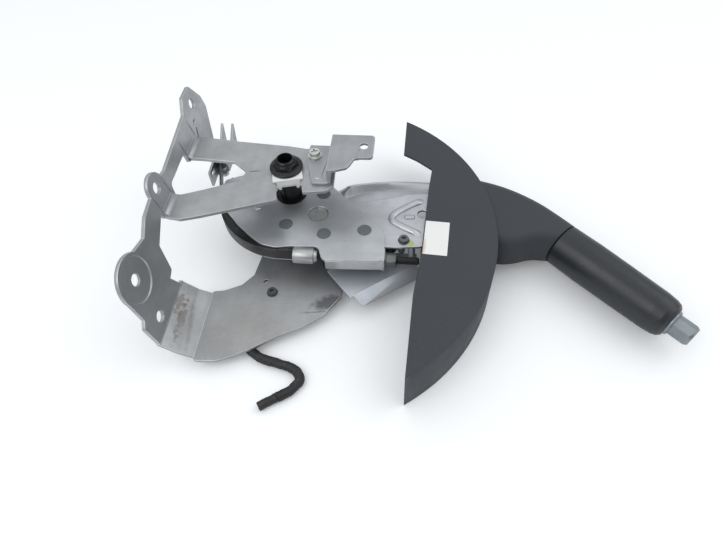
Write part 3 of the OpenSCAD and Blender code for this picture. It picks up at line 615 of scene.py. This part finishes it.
@dataclass
class StrapBand:
    """The steel strap: wound on the sector, straight to the equalizer, with an eye on its pin."""

    radius: float = 61.0
    thickness: float = 1.0
    width: float = 12.0
    middle: float = -35.0
    leave: float = -165.0
    run: float = 60.0
    eye: float = 3.6
    pin: float = 2.8
    tail: float = 11.0
    pull: float = 31.94

    def section(self) -> np.ndarray:
        """The strap's section as offsets across and up: a thin slab with eased corners."""
        a, b, e = self.thickness / 2, self.width / 2, 0.2
        return np.array([[a, -b + e], [a, b - e], [a - e, b], [-a + e, b], [-a, b - e], [-a, -b + e],
            [-a + e, -b], [a - e, -b]])

    def lift(self, flat: np.ndarray, rise: np.ndarray) -> np.ndarray:
        """Returns level points raised about the strap's middle, in metres."""
        up = np.broadcast_to(rise + self.middle, flat.shape[:2])
        return np.concatenate([flat, up[..., None]], axis=-1) * MM

    def sweep(self, name: str, line: np.ndarray, out: np.ndarray, steel: Material) -> Object:
        """Carries the section along a level line, with the outward direction at each of its points."""
        section = self.section()
        flat = line[:, None, :] + section[None, :, :1] * out[:, None, :]
        return grid(name, self.lift(flat, section[None, :, 1]), True, True, steel, CRISP)

    def build(self, steel: Material) -> list[Object]:
        """Makes the strap's wound length, straight length and eye, and ties the last two to what they
        follow.
        """
        angle = np.radians(np.linspace(self.leave, -90.0, 60))
        circle = np.column_stack([np.cos(angle), np.sin(angle)])
        straight = np.column_stack([np.linspace(0.5, self.tail, 8), np.full(8, -self.radius)])
        line = np.vstack([circle * self.radius, straight])
        out = np.vstack([circle, np.tile([0.0, -1.0], (8, 1))])
        wound = self.sweep("strap_wound", line, out, steel)
        leave = math.radians(self.leave)
        outward = np.array([math.cos(leave), math.sin(leave)])
        start = outward * self.radius
        way = np.array([math.sin(leave), -math.cos(leave)])
        reach = self.run - (self.eye + self.pin) / 2
        straight = start + np.linspace(0, reach, 30)[:, None] * way
        run = self.sweep("strap_run", straight, np.tile(outward, (30, 1)), steel)
        spin = unit_circle(48)
        half = self.width / 2
        ring = np.array([[self.eye, -half], [self.eye, half], [self.pin, half], [self.pin, -half]])
        flat = (start + self.run * way)[None, None, :] + ring[:, None, :1] * spin[None, :, :]
        points = self.lift(flat, ring[:, None, 1])
        points = np.concatenate([points, points[:1]], axis=0)
        eye = grid("strap_eye", points[::-1], True, False, steel, CRISP)
        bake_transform(wound)
        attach(run, Body.BRACKET.value)
        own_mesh(run)
        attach(eye, Body.YOKE.value)
        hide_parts("strap")
        return [wound, run, eye]


@dataclass
class LeverForms:
    """Truer forms of the lever's pressed and bent pieces, in place of plainer CAD nodes or beside them."""

    steel: Material
    sector: Material
    edge: Material
    neck: Material
    web_top: float = -30.5
    web_low: float = -32.5
    plate_top: float = -28.0
    hub: float = 13.1
    rivet_hole: float = 3.2
    lug: Point = (84.0, -61.0, -35.0)
    neck_wall: float = 2.5
    inner_low: float = -57.0
    inner_high: float = -39.0
    edge_line: tuple[Flat, ...] = ((37.5, 6.8), (49, 13.4), (60.4, 16.1), (72, 18.4), (83.3, 20.1),
        (100.5, 21.4), (124, 21.5))

    def ring(self, name: str, lines: list[np.ndarray], material: Material) -> Object:
        """Joins lines of equal count, in order round a section, into one closed skin."""
        return grid(name, np.stack(lines, axis=1) * MM, True, True, material, CRISP)

    @staticmethod
    def along(knots: Sequence[Flat], count: int = 48) -> np.ndarray:
        """Spreads points evenly along a line of knots and smooths them a little."""
        line = even_steps(np.array(knots, dtype=float), count)
        for _ in range(3):
            line[1:-1] = line[1:-1] / 2 + (line[:-2] + line[2:]) / 4
        return line

    def wall(self, name: str, line: np.ndarray, left: float, right: float, low: float, high: float,
            material: Material) -> Object:
        """An upright wall along a level line, from right to left of it."""
        out = left_of(line)
        corners = ((left, low), (left, high), (right, high), (right, low))
        lines = [np.column_stack([line + out * reach, np.full(len(line), z)]) for reach, z in corners]
        return self.ring(name, lines, material)

    def ridge(self, name: str, knots: Sequence[Flat], half: float, rise: float, sunk: float) -> Object:
        """A pressed ridge on the web along a line, tapered at both ends."""
        line = self.along(knots)
        out = left_of(line)
        grow = np.clip(np.minimum(np.arange(len(line)), np.arange(len(line))[::-1]) / 5.0, 0.12, 1.0)
        lines = []
        for angle in round_angles(20):
            flat = line + out * (half * math.cos(angle))
            lines.append(np.column_stack([flat, self.web_top - sunk + rise * math.sin(angle) * grow]))
        return self.ring(name, lines, self.steel)

    def spine(self) -> Object:
        """The rolled spine: a valley beside the web, a round bead and the outer edge."""
        valley = self.along([(52, -6.9), (62, -4.6), (73.4, -1.8), (84, 1), (92.3, 3.5), (97, 6.1),
            (106, 7.3), (124, 8.4)])
        foot = self.along([(44.9, -1.5), (52, 3.2), (61.2, 7.3), (72, 9.8), (83.8, 11.3), (100, 11.9),
            (124, 12)])
        outer = self.along(self.edge_line)
        start = np.clip(np.arange(len(valley)) / 5.0, 0.1, 1.0)
        end = np.interp(valley[:, 0], [60, 90, 112], [1.7, 1.4, 0.8])
        profile = [(0, 0.0, 0.0), (0, 0.5, -0.9), (0, 0.95, -1.1), (1, 0.1, 0.1), (1, 0.28, 1.9),
            (1, 0.45, 2.8), (1, 0.62, 2.9), (1, 0.8, 2.1), (1, 0.93, 0.7), (1, 1.0, -0.6), (1, 1.0, -2.6),
            (1, 0.75, -0.6), (1, 0.45, 0.4), (1, 0.1, -2.0), (0, 0.95, -3.0), (0, 0.0, -2.0)]
        lines = []
        for part, share, height in profile:
            near, far = (valley, foot) if part == 0 else (foot, outer)
            flat = near + (far - near) * share
            lift = np.where(height > 0, height * start * end, height)
            lines.append(np.column_stack([flat, self.web_top + lift]))
        return self.ring("lever_spine", lines, self.steel)

    def web(self) -> Object:
        """The lever's flat web up to the spine's valley."""
        outline = [(-12, -40), (4, -47), (30, -52), (86, -52), (95, -52), (100, -51), (112, -50),
            (118, -46), (150, -30), (150, 8.4), (124, 8.5), (106, 7.4), (97, 6.2), (92.3, 3.6), (84, 1.1),
            (73.4, -1.7), (62, -4.5), (52, -6.8), (34, 8), (20, 16), (0, 25), (-14, 23), (-25, 10),
            (-27, 0), (-25, -12)]
        holes = [((0, 0), self.hub), ((112, -15.5), 4.5)]
        return flat_sheet("lever_web", outline, 2.0, holes, self.web_low, self.web_top, self.steel,
            self.edge)

    def plate(self) -> Object:
        """The strap sector's plate with its straight flank, its notch at the ferrule and its round end."""
        outline = [(-26, 26), (0, 25), (18, 22), (34, 10.2), (51.3, -6.9), (71, -26), (78.5, -34.2),
            (82.3, -41), (83.5, -54), (83.5, -66), (81, -67.9), (38, -69.6), (34.7, -67.5), (31.5, -58.5),
            (28.5, -56.5), (9.5, -57.5), (-3.4, -59.5), (-15.3, -57), (-25.7, -49.4), (-38.2, -38.6),
            (-48, -27.6), (-54, -21.5), (-59.5, -15), (-61.5, -6), (-62, 4), (-61, 13), (-46, 20)]
        rivets = [(1.3, -34.9), (33.8, -43.1), (66, -37.5), (27.8, 0.6)]
        holes = [((0, 0), self.hub), ((26, -22), 8.4), *[(place, self.rivet_hole) for place in rivets]]
        return flat_sheet("sector_form", outline, 2.2, holes, self.web_top, self.plate_top, self.sector,
            self.edge)

    def lug_end(self) -> Object:
        """The bent end of the sector plate that the adjuster rod goes through."""
        piece = flat_sheet("sector_lug", [(-6.2, -6.5), (6.5, -6.5), (6.5, 6.8), (-6.2, 6.8)], 1.2,
            [((0, 0), 3.3)], -2.5, 0.0, self.sector, self.edge)
        stand = Matrix.Translation([v * MM for v in self.lug])
        piece.data.transform(stand @ Matrix.Rotation(math.radians(90), 4, "Y"))
        return piece

    def sleeve(self) -> Object:
        """The neck: rounded boxes lofted from the shield to the grip, with a wall of even thickness."""
        knots = np.array([(158, -2.8, -47.5, 14, 77.6, 37, 13), (178, -8.2, -47.5, 0, 69.5, 37, 13.5),
            (196, -14, -47.5, -14.5, 57, 37, 14.5), (212, -19.6, -47.8, -32.5, 43, 36.5, 16),
            (225.4, -25.7, -48.0, -44.2, 35, 35, 17.4)], dtype=float)
        padded = np.vstack([2 * knots[0] - knots[1], knots, 2 * knots[-1] - knots[-2]])
        stations = []
        for k in range(4):
            a, b, c, d = padded[k:k + 4]
            for t in np.linspace(0, 1, 14, endpoint=k == 3)[:, None]:
                stations.append(smooth_between(a, b, c, d, t))
        stations = np.vstack(stations)
        rows = [self.section(row, 0.0) for row in stations]
        rows += [self.section(row, self.neck_wall) for row in stations[::-1]]
        points = np.stack([*rows, rows[0]]) * MM
        return grid("neck_form", points, True, False, self.neck, 50.0)

    @staticmethod
    def section(row: np.ndarray, cut: float) -> np.ndarray:
        """One rounded box across the neck's line, cut inside its surface."""
        x, y, z, turn, wide, high, corner = row
        half, tall = wide / 2 - cut, high / 2 - cut
        r = min(corner - cut, tall - 0.05, half - 0.05)
        angle = round_angles(64) + np.pi / 64
        across = np.cos(angle) * r + np.sign(np.cos(angle)) * (half - r)
        up = np.sin(angle) * r + np.sign(np.sin(angle)) * (tall - r)
        a = math.radians(turn)
        return np.column_stack([x - math.sin(a) * across, y + math.cos(a) * across, z + up])

    def shield(self, node: Object) -> Object:
        """A copy of the shield whose upper wing is open below, as the floor shows there."""
        copy = put("shield_form", node.data.copy())
        room = [(80, 8), (200, 8), (200, 140), (80, 140)]
        corners = [(x * MM, y * MM, z * MM) for z in (-75.0, -48.0) for x, y in room]
        count = len(room)
        sides = [(k, (k + 1) % count, (k + 1) % count + count, k + count) for k in range(count)]
        ends = [tuple(reversed(range(count))), tuple(range(count, 2 * count))]
        block = bpy.data.meshes.new("wing_room")
        block.from_pydata(corners, [], [*sides, *ends])
        cutter = put("wing_room", block)
        cut = copy.modifiers.new("wing_room", "BOOLEAN")
        cut.operation = "DIFFERENCE"
        cut.solver = "EXACT"
        cut.object = cutter
        mesh = final_mesh(copy)
        copy.modifiers.clear()
        copy.data = mesh
        bpy.data.objects.remove(cutter)
        return copy

    def build(self, nodes: dict) -> list[Object]:
        """Makes the pieces, which all ride on the lever, some of them in place of a CAD node."""
        outer = self.along(self.edge_line)
        far = self.along([(128, 5), (150, 8), (168, 16), (186, 18.5), (197, 15)])
        near = self.along([(128, -26), (180, -16), (193.4, -5.7)])
        rim = self.along([(38, -69.6), (82.5, -67.6)])
        vee = [(113.5, 0.8), (104, -4.2), (97.1, -9.4), (89.5, -15.6), (86.6, -20.4), (88.2, -25),
            (97.4, -30.6), (104, -34), (112, -38)]
        inner = (self.inner_low, self.inner_high, self.steel)
        made = {
            "lever_arm": self.web(),
            "lever_skirt_far": self.wall("spine_wall", outer[4:-1], 0.0, -2.0, -54.5, -33.0, self.steel),
            "sector_plate": self.plate(),
            "neck_sleeve": self.sleeve(),
            "neck_box": self.wall("neck_far_wall", far, 0.0, -2.0, *inner),
            "console_shield": self.shield(nodes["console_shield"]),
        }
        extra = [
            self.spine(),
            self.lug_end(),
            self.ridge("vee_ridge", vee, 3.3, 2.7, 0.5),
            self.ridge("slot_ridge", [(97.0, -19.6), (106.0, -19.0)], 2.6, 1.9, 0.5),
            self.wall("neck_near_wall", near, 2.0, 0.0, *inner),
            # The sector's folded lip wears the lighter edge steel, a painted highlight.
            self.wall("sector_flange", rim, 0.9, -0.9, -38.5, -29.4, self.edge),
        ]
        for name, piece in made.items():
            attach(piece, Body.LEVER.value)
            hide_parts(name)
        for piece in extra:
            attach(piece, Body.LEVER.value)
        return [*made.values(), *extra]


@dataclass
class Studio:
    """The pale floor, the soft lights and the camera at the photograph's place."""

    eye: Point = (0.107, -0.3293, 0.314)
    yaw: float = 9.0
    pitch: float = 53.4
    roll: float = 4.2
    focal_px: float = 560.0
    image: tuple[int, int] = (722, 542)
    floor: float = -0.071

    def build(self) -> None:
        """Makes the camera, the floor, the world and the lamps."""
        self._camera()
        self._floor()
        self._world()
        self._lamp("key_softbox", (-0.45, -0.75, 1.05), (0.05, -0.03, -0.05), 1.0, 5.0)
        self._lamp("fill_softbox", (1.1, 0.25, 0.95), (0.1, -0.03, -0.05), 1.0, 2.4)

    def _camera(self) -> None:
        """Turns forward, right and down by yaw, pitch and roll, and sets the lens from the focal length."""
        yaw, pitch, roll = (math.radians(v) for v in (self.yaw, self.pitch, self.roll))
        ahead = np.array([-math.sin(yaw) * math.cos(pitch), math.cos(yaw) * math.cos(pitch),
            -math.sin(pitch)])
        right = np.array([math.cos(yaw), math.sin(yaw), 0.0])
        down = np.cross(ahead, right)
        across = math.cos(roll) * right + math.sin(roll) * down
        up = math.sin(roll) * right - math.cos(roll) * down
        data = bpy.data.cameras.new("photo_camera")
        data.sensor_width = 36.0
        data.lens = self.focal_px / self.image[0] * data.sensor_width
        data.clip_start = 0.01
        camera = put("photo_camera", data)
        turn = Matrix((across, up, -ahead)).transposed()
        camera.matrix_world = Matrix.Translation(self.eye) @ turn.to_4x4()
        bpy.context.scene.camera = camera

    def _floor(self) -> None:
        """A wide plain sheet just under the part, a little whiter to the camera alone."""
        mesh = bpy.data.meshes.new("studio_floor")
        reach = 4.0
        corners = [(-reach, -reach, self.floor), (reach, -reach, self.floor), (reach, reach, self.floor),
            (-reach, reach, self.floor)]
        mesh.from_pydata(corners, [], [(0, 1, 2, 3)])
        floor = put("studio_floor", mesh)
        material = bpy.data.materials.new("pale_floor")
        material.use_nodes = True
        shader = material.node_tree.nodes["Principled BSDF"]
        shader.inputs["Base Color"].default_value = (0.92, 0.94, 0.955, 1.0)
        shader.inputs["Roughness"].default_value = 0.55
        shader.inputs["Emission Color"].default_value = (1.0, 1.0, 1.0, 1.0)
        tree = Tree(material.node_tree)
        seen = tree.add("ShaderNodeLightPath").outputs["Is Camera Ray"]
        tree.feed(shader.inputs["Emission Strength"], tree.math("MULTIPLY", seen, 0.13))
        mesh.materials.append(material)

    def _world(self) -> None:
        """A soft room: bright overhead, duller towards the horizon and dim behind the camera."""
        world = bpy.data.worlds.new("soft_room")
        bpy.context.scene.world = world
        world.use_nodes = True
        world.node_tree.nodes.clear()
        tree = Tree(world.node_tree)
        place = tree.add("ShaderNodeTexCoord").outputs["Generated"]
        axes = tree.add("ShaderNodeSeparateXYZ", {0: place})
        colour = tree.blend(tree.spread(axes.outputs[2], 0.0, 0.85), (0.50, 0.51, 0.53), (0.96, 0.98, 1.0))
        toward = tree.add("ShaderNodeVectorMath", {0: place, 1: (0.02, -0.78, 0.62)},
            operation="DOT_PRODUCT")
        colour = tree.blend(tree.spread(toward.outputs["Value"], 0.72, 0.96), colour, (0.22, 0.225, 0.235))
        back = tree.add("ShaderNodeBackground", {"Color": colour, "Strength": 1.0})
        end = tree.add("ShaderNodeOutputWorld")
        tree.feed(end.inputs["Surface"], back.outputs[0])

    def _lamp(self, name: str, place: Point, target: Point, size: float, watts: float) -> None:
        """Hangs one square softbox that faces the part."""
        data = bpy.data.lights.new(name, "AREA")
        data.size = size
        data.energy = watts
        lamp = put(name, data)
        back = np.array(place) - np.array(target)
        back /= np.linalg.norm(back)
        side = np.cross(UP, back)
        side /= np.linalg.norm(side)
        turn = Matrix((side, np.cross(back, side), back)).transposed()
        lamp.matrix_world = Matrix.Translation(place) @ turn.to_4x4()


BRACKET_SPOTS = (
    Spot((-0.0745, -0.104, -0.0500), (0.005, 0.014, 0.008), (0.19, 0.135, 0.11), 0.5, ragged=0.5, rough=0.7),
    Spot((-0.0700, -0.120, -0.0520), (0.003, 0.022, 0.006), (0.20, 0.145, 0.12), 0.45, ragged=0.55,
        rough=0.7),
    # A dark patch and a thin dark line on the lower cheek: painted shadow cast by the lever.
    Spot((0.0420, -0.088, -0.0590), (0.018, 0.008, 0.006), (0.075, 0.075, 0.09), 0.85, turn=-0.35, soft=0.5,
        ragged=0.22, rough=0.45),
    Spot((0.0300, -0.0985, -0.059), (0.013, 0.0012, 0.004), (0.08, 0.08, 0.085), 0.6, turn=-0.15, soft=0.8),
    # A soft dark line along the edge of the bend on the lower cheek: painted shade.
    Spot((-0.0645, -0.113, -0.0555), (0.0028, 0.034, 0.005), (0.21, 0.20, 0.195), 0.6, turn=-0.13, soft=0.8,
        rough=0.5),
    Spot((-0.0260, -0.0040, 0.0), (0.0056, 0.0007, 0.002), (0.03, 0.16, 0.11), 0.9, turn=-0.16, ragged=0.05),
    Spot((-0.050, -0.0265, 0.0), (0.016, 0.006, 0.004), (0.36, 0.34, 0.30), 0.25, turn=-0.3, soft=0.9),
    Spot((-0.020, -0.118, -0.0590), (0.050, 0.038, 0.006), (0.335, 0.325, 0.305), 0.6, soft=0.9, rough=0.42,
        metal=0.8),
    Spot((-0.084, -0.086, -0.015), (0.006, 0.02, 0.03), (0.35, 0.34, 0.31), 0.3, soft=0.9),
)
PAINT_DAB = Spot((0.1035, -0.0475, -0.0305), (0.0035, 0.0042, 0.003), (0.42, 0.46, 0.16), 0.85, ragged=0.2,
    rough=0.5)
# A bright band along the strap's lower edge: a painted reflection of the pale floor.
STRAP_EDGE_HIGHLIGHT = Spot((0.0, 0.0, -0.041), (0.3, 0.3, 0.0011), (0.72, 0.72, 0.71), 0.95, soft=0.3, ragged=0.0,
    rough=0.28, metal=0.9)
LABEL_STAIN = Spot((0.1134, -0.0535, -0.0262), (0.0026, 0.013, 0.004), (0.60, 0.44, 0.28), 0.75, turn=0.06,
    soft=0.7, ragged=0.15)
BRACKET_STEEL = MetalFinish("bracket_steel", (0.46, 0.47, 0.48), (0.39, 0.40, 0.41), rough=0.37, metal=0.85,
    way=Way.ALONG_Y, scratch=0.4, speck=0.3, spots=BRACKET_SPOTS)
TAB_STEEL = MetalFinish("tab_steel", (0.42, 0.43, 0.445), (0.36, 0.37, 0.385), rough=0.36, metal=0.85,
    way=Way.ALONG_Y, speck=0.2)
# Lighter steel for cut edges, bevels and the sector's folded lip: a painted highlight on them.
EDGE_HIGHLIGHT_STEEL = MetalFinish("edge_highlight", (0.66, 0.665, 0.67), (0.56, 0.565, 0.57), rough=0.3, metal=0.9,
    way=Way.EVEN, speck=0.1)
SECTOR_STEEL = MetalFinish("sector_steel", (0.54, 0.56, 0.58), (0.48, 0.495, 0.515), rough=0.33, metal=0.85,
    scratch=0.35, speck=0.2)
LEVER_STEEL = MetalFinish("lever_steel", (0.56, 0.575, 0.60), (0.47, 0.485, 0.505), rough=0.34, metal=0.9,
    scratch=0.5, speck=0.2, spots=(PAINT_DAB,))
LOWER_STEEL = MetalFinish("lower_plate_steel", (0.60, 0.635, 0.68), (0.52, 0.55, 0.59), rough=0.4,
    metal=0.6, scratch=0.4, speck=0.2)
DARK_STEEL = MetalFinish("dark_steel", (0.16, 0.165, 0.17), (0.10, 0.102, 0.105), rough=0.33, metal=0.85,
    way=Way.EVEN)
RIVET_STEEL = MetalFinish("rivet_steel", (0.19, 0.215, 0.23), (0.15, 0.168, 0.178), rough=0.4, metal=0.75,
    way=Way.EVEN, speck=0.3)
BLACK_OXIDE = MetalFinish("black_oxide", (0.035, 0.037, 0.04), (0.02, 0.021, 0.023), rough=0.2, metal=0.6,
    way=Way.EVEN, scratch=0.2)
BLACK_THREAD = MetalFinish("black_thread", (0.035, 0.034, 0.034), (0.02, 0.02, 0.02), rough=0.4, metal=0.6,
    way=Way.EVEN, scratch=0.1, thread_axis=0, thread_pitch=1.0 * MM)
ZINC = MetalFinish("bright_zinc", (0.74, 0.74, 0.72), (0.58, 0.58, 0.56), rough=0.24, metal=0.95,
    way=Way.EVEN, scratch=0.4)
CLAMP_STEEL = MetalFinish("clamp_steel", (0.56, 0.57, 0.58), (0.46, 0.465, 0.47), rough=0.3, metal=0.9,
    way=Way.ALONG_Y, scratch=0.4)
STRAP_STEEL = MetalFinish("strap_steel", (0.09, 0.09, 0.09), (0.05, 0.05, 0.05), rough=0.36, metal=0.8,
    spots=(STRAP_EDGE_HIGHLIGHT,))
BUTTON_METAL = MetalFinish("button_silver", (0.36, 0.395, 0.42), (0.28, 0.31, 0.33), rough=0.32, metal=0.8,
    way=Way.EVEN, speck=0.2)
NYLON = PlasticFinish("white_nylon", (0.78, 0.78, 0.77), (0.86, 0.86, 0.85), rough=0.42, scale=900.0,
    grain=0.08, dust=0.0)
SHIELD_PLASTIC = PlasticFinish("slate_shield", (0.033, 0.038, 0.046), (0.041, 0.047, 0.055), rough=0.55,
    scale=2400.0, grain=0.12, dust=0.06)
NECK_PLASTIC = PlasticFinish("slate_neck", (0.030, 0.0335, 0.0395), (0.037, 0.0415, 0.0485), rough=0.52,
    scale=1500.0, grain=0.3, dust=0.07)
GRIP_RUBBER = PlasticFinish("charcoal_grip", (0.019, 0.022, 0.026), (0.026, 0.0295, 0.034), rough=0.36,
    scale=1500.0, grain=0.15, dust=0.05)
SWITCH_PLASTIC = PlasticFinish("black_switch", (0.015, 0.015, 0.016), (0.022, 0.022, 0.023), rough=0.5)
LEAD_TAPE = PlasticFinish("lead_tape", (0.012, 0.012, 0.013), (0.03, 0.03, 0.031), rough=0.55, scale=800.0,
    grain=0.5, dust=0.25)
LEAD_CORE = PlasticFinish("lead_core", (0.02, 0.018, 0.017), (0.045, 0.042, 0.04), rough=0.55, scale=700.0,
    grain=0.5, dust=0.4)
LABEL_PAPER = PlasticFinish("blank_label", (0.84, 0.845, 0.83), (0.9, 0.9, 0.89), rough=0.45, scale=1200.0,
    grain=0.05, dust=0.05, spots=(LABEL_STAIN,))

DRESS: dict[MetalFinish | PlasticFinish, tuple[str, ...]] = {
    BRACKET_STEEL: ("mounting_bracket", "equalizer"),
    # The sector_rim wears this dark finish as painted shade in the strap's groove under the sector plate.
    BLACK_OXIDE: ("pivot_tube", "pivot_nut", "lever_hub", "sector_rim"),
    NYLON: ("pivot_bush",),
    TAB_STEEL: ("tab_bracket",),
    ZINC: ("tab_screw", "sector_stud", "sector_pin", "pawl_pin", "release_rod", "equalizer_pin"),
    DARK_STEEL: ("ratchet_sector", "ratchet_rivet_near", "ratchet_rivet_far", "switch_screw",
        "adjuster_washer", "adjuster_nut", "arm_screw", "pawl"),
    SWITCH_PLASTIC: ("switch_body",),
    LEVER_STEEL: ("lever_arm", "lever_skirt_far", "lever_skirt_near", "neck_box", "handle_tube"),
    LOWER_STEEL: ("lever_lower_plate",),
    SECTOR_STEEL: ("sector_plate",),
    RIVET_STEEL: ("sector_rivet_1", "sector_rivet_2", "sector_rivet_3", "sector_rivet_4"),
    CLAMP_STEEL: ("ferrule",),
    BLACK_THREAD: ("adjuster_rod",),
    NECK_PLASTIC: ("neck_sleeve",),
    GRIP_RUBBER: ("grip",),
    BUTTON_METAL: ("button_collar", "release_button"),
    SHIELD_PLASTIC: ("console_shield",),
    LABEL_PAPER: ("label",),
}
SHEARED: tuple[str, ...] = ("mounting_bracket", "tab_bracket", "lever_lower_plate", "equalizer")
EASED: tuple[str, ...] = ("pivot_nut", "adjuster_nut", "ferrule", "pivot_bush", "switch_body")
COPIES: tuple[str, ...] = ("shield_form",)
SHEARED_WIDTH = 0.35 * MM
EASED_WIDTH = 0.4 * MM


class Wardrobe:
    """Builds each finish once and hands it out."""

    def __init__(self) -> None:
        """Starts with the shared effects and no finish."""
        self.effects = Effects()
        self.made: dict[str, Material] = {}

    def get(self, finish: MetalFinish | PlasticFinish) -> Material:
        """Returns the material of a finish."""
        if finish.name not in self.made:
            self.made[finish.name] = finish.build(self.effects)
        return self.made[finish.name]

    def dress(self, frame: dict) -> None:
        """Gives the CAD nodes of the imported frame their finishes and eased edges."""
        for finish, names in DRESS.items():
            for name in names:
                node = frame["nodes"][name]
                node.data.materials.clear()
                node.data.materials.append(self.get(finish))
                LOG.info("%s wears %s", name, finish.name)
        # The bevels of the sheared nodes take the lighter edge steel, a painted highlight.
        for name in SHEARED:
            frame["nodes"][name].data.materials.append(self.get(EDGE_HIGHLIGHT_STEEL))
            self.ease(frame["nodes"][name], SHEARED_WIDTH, 1)
        for name in EASED:
            self.ease(frame["nodes"][name], EASED_WIDTH, 0)

    @staticmethod
    def ease(node: Object, width: float, slot: int) -> None:
        """Breaks the sharp edges of a node or of a new piece with modifiers, its mesh unchanged.

        Args:
            node: The CAD node or the new piece.
            width: Width of the broken edge in metres.
            slot: Material slot of the broken edges.
        """
        weld = node.modifiers.new("weld", "WELD")
        weld.merge_threshold = 0.01 * MM
        bevel = node.modifiers.new("eased_edges", "BEVEL")
        bevel.width = width
        bevel.segments = 2
        bevel.limit_method = "ANGLE"
        bevel.angle_limit = math.radians(40.0)
        bevel.use_clamp_overlap = False
        bevel.harden_normals = True
        bevel.material = slot


def main() -> None:
    """Loads the frame, sets the stage, makes the new pieces and dresses the rest."""
    logging.basicConfig(level=logging.INFO, format="%(message)s")
    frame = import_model()
    bpy.context.scene.view_settings.view_transform = "Standard"
    Studio().build()
    wardrobe = Wardrobe()
    pieces = SwitchLead().build(wardrobe.get(LEAD_TAPE), wardrobe.get(LEAD_CORE))
    pieces += StrapBand().build(wardrobe.get(STRAP_STEEL))
    wardrobe.dress(frame)
    forms = LeverForms(*[wardrobe.get(f) for f in (LEVER_STEEL, SECTOR_STEEL, EDGE_HIGHLIGHT_STEEL, NECK_PLASTIC)])
    shaped = forms.build(frame["nodes"])
    for piece in shaped:
        if piece.name in COPIES:
            Wardrobe.ease(piece, EASED_WIDTH, 0)
    pieces += shaped
    for piece in pieces:
        LOG.info("made %s with %d faces", piece.name, len(piece.data.polygons))


if __name__ == "__main__":
    main()
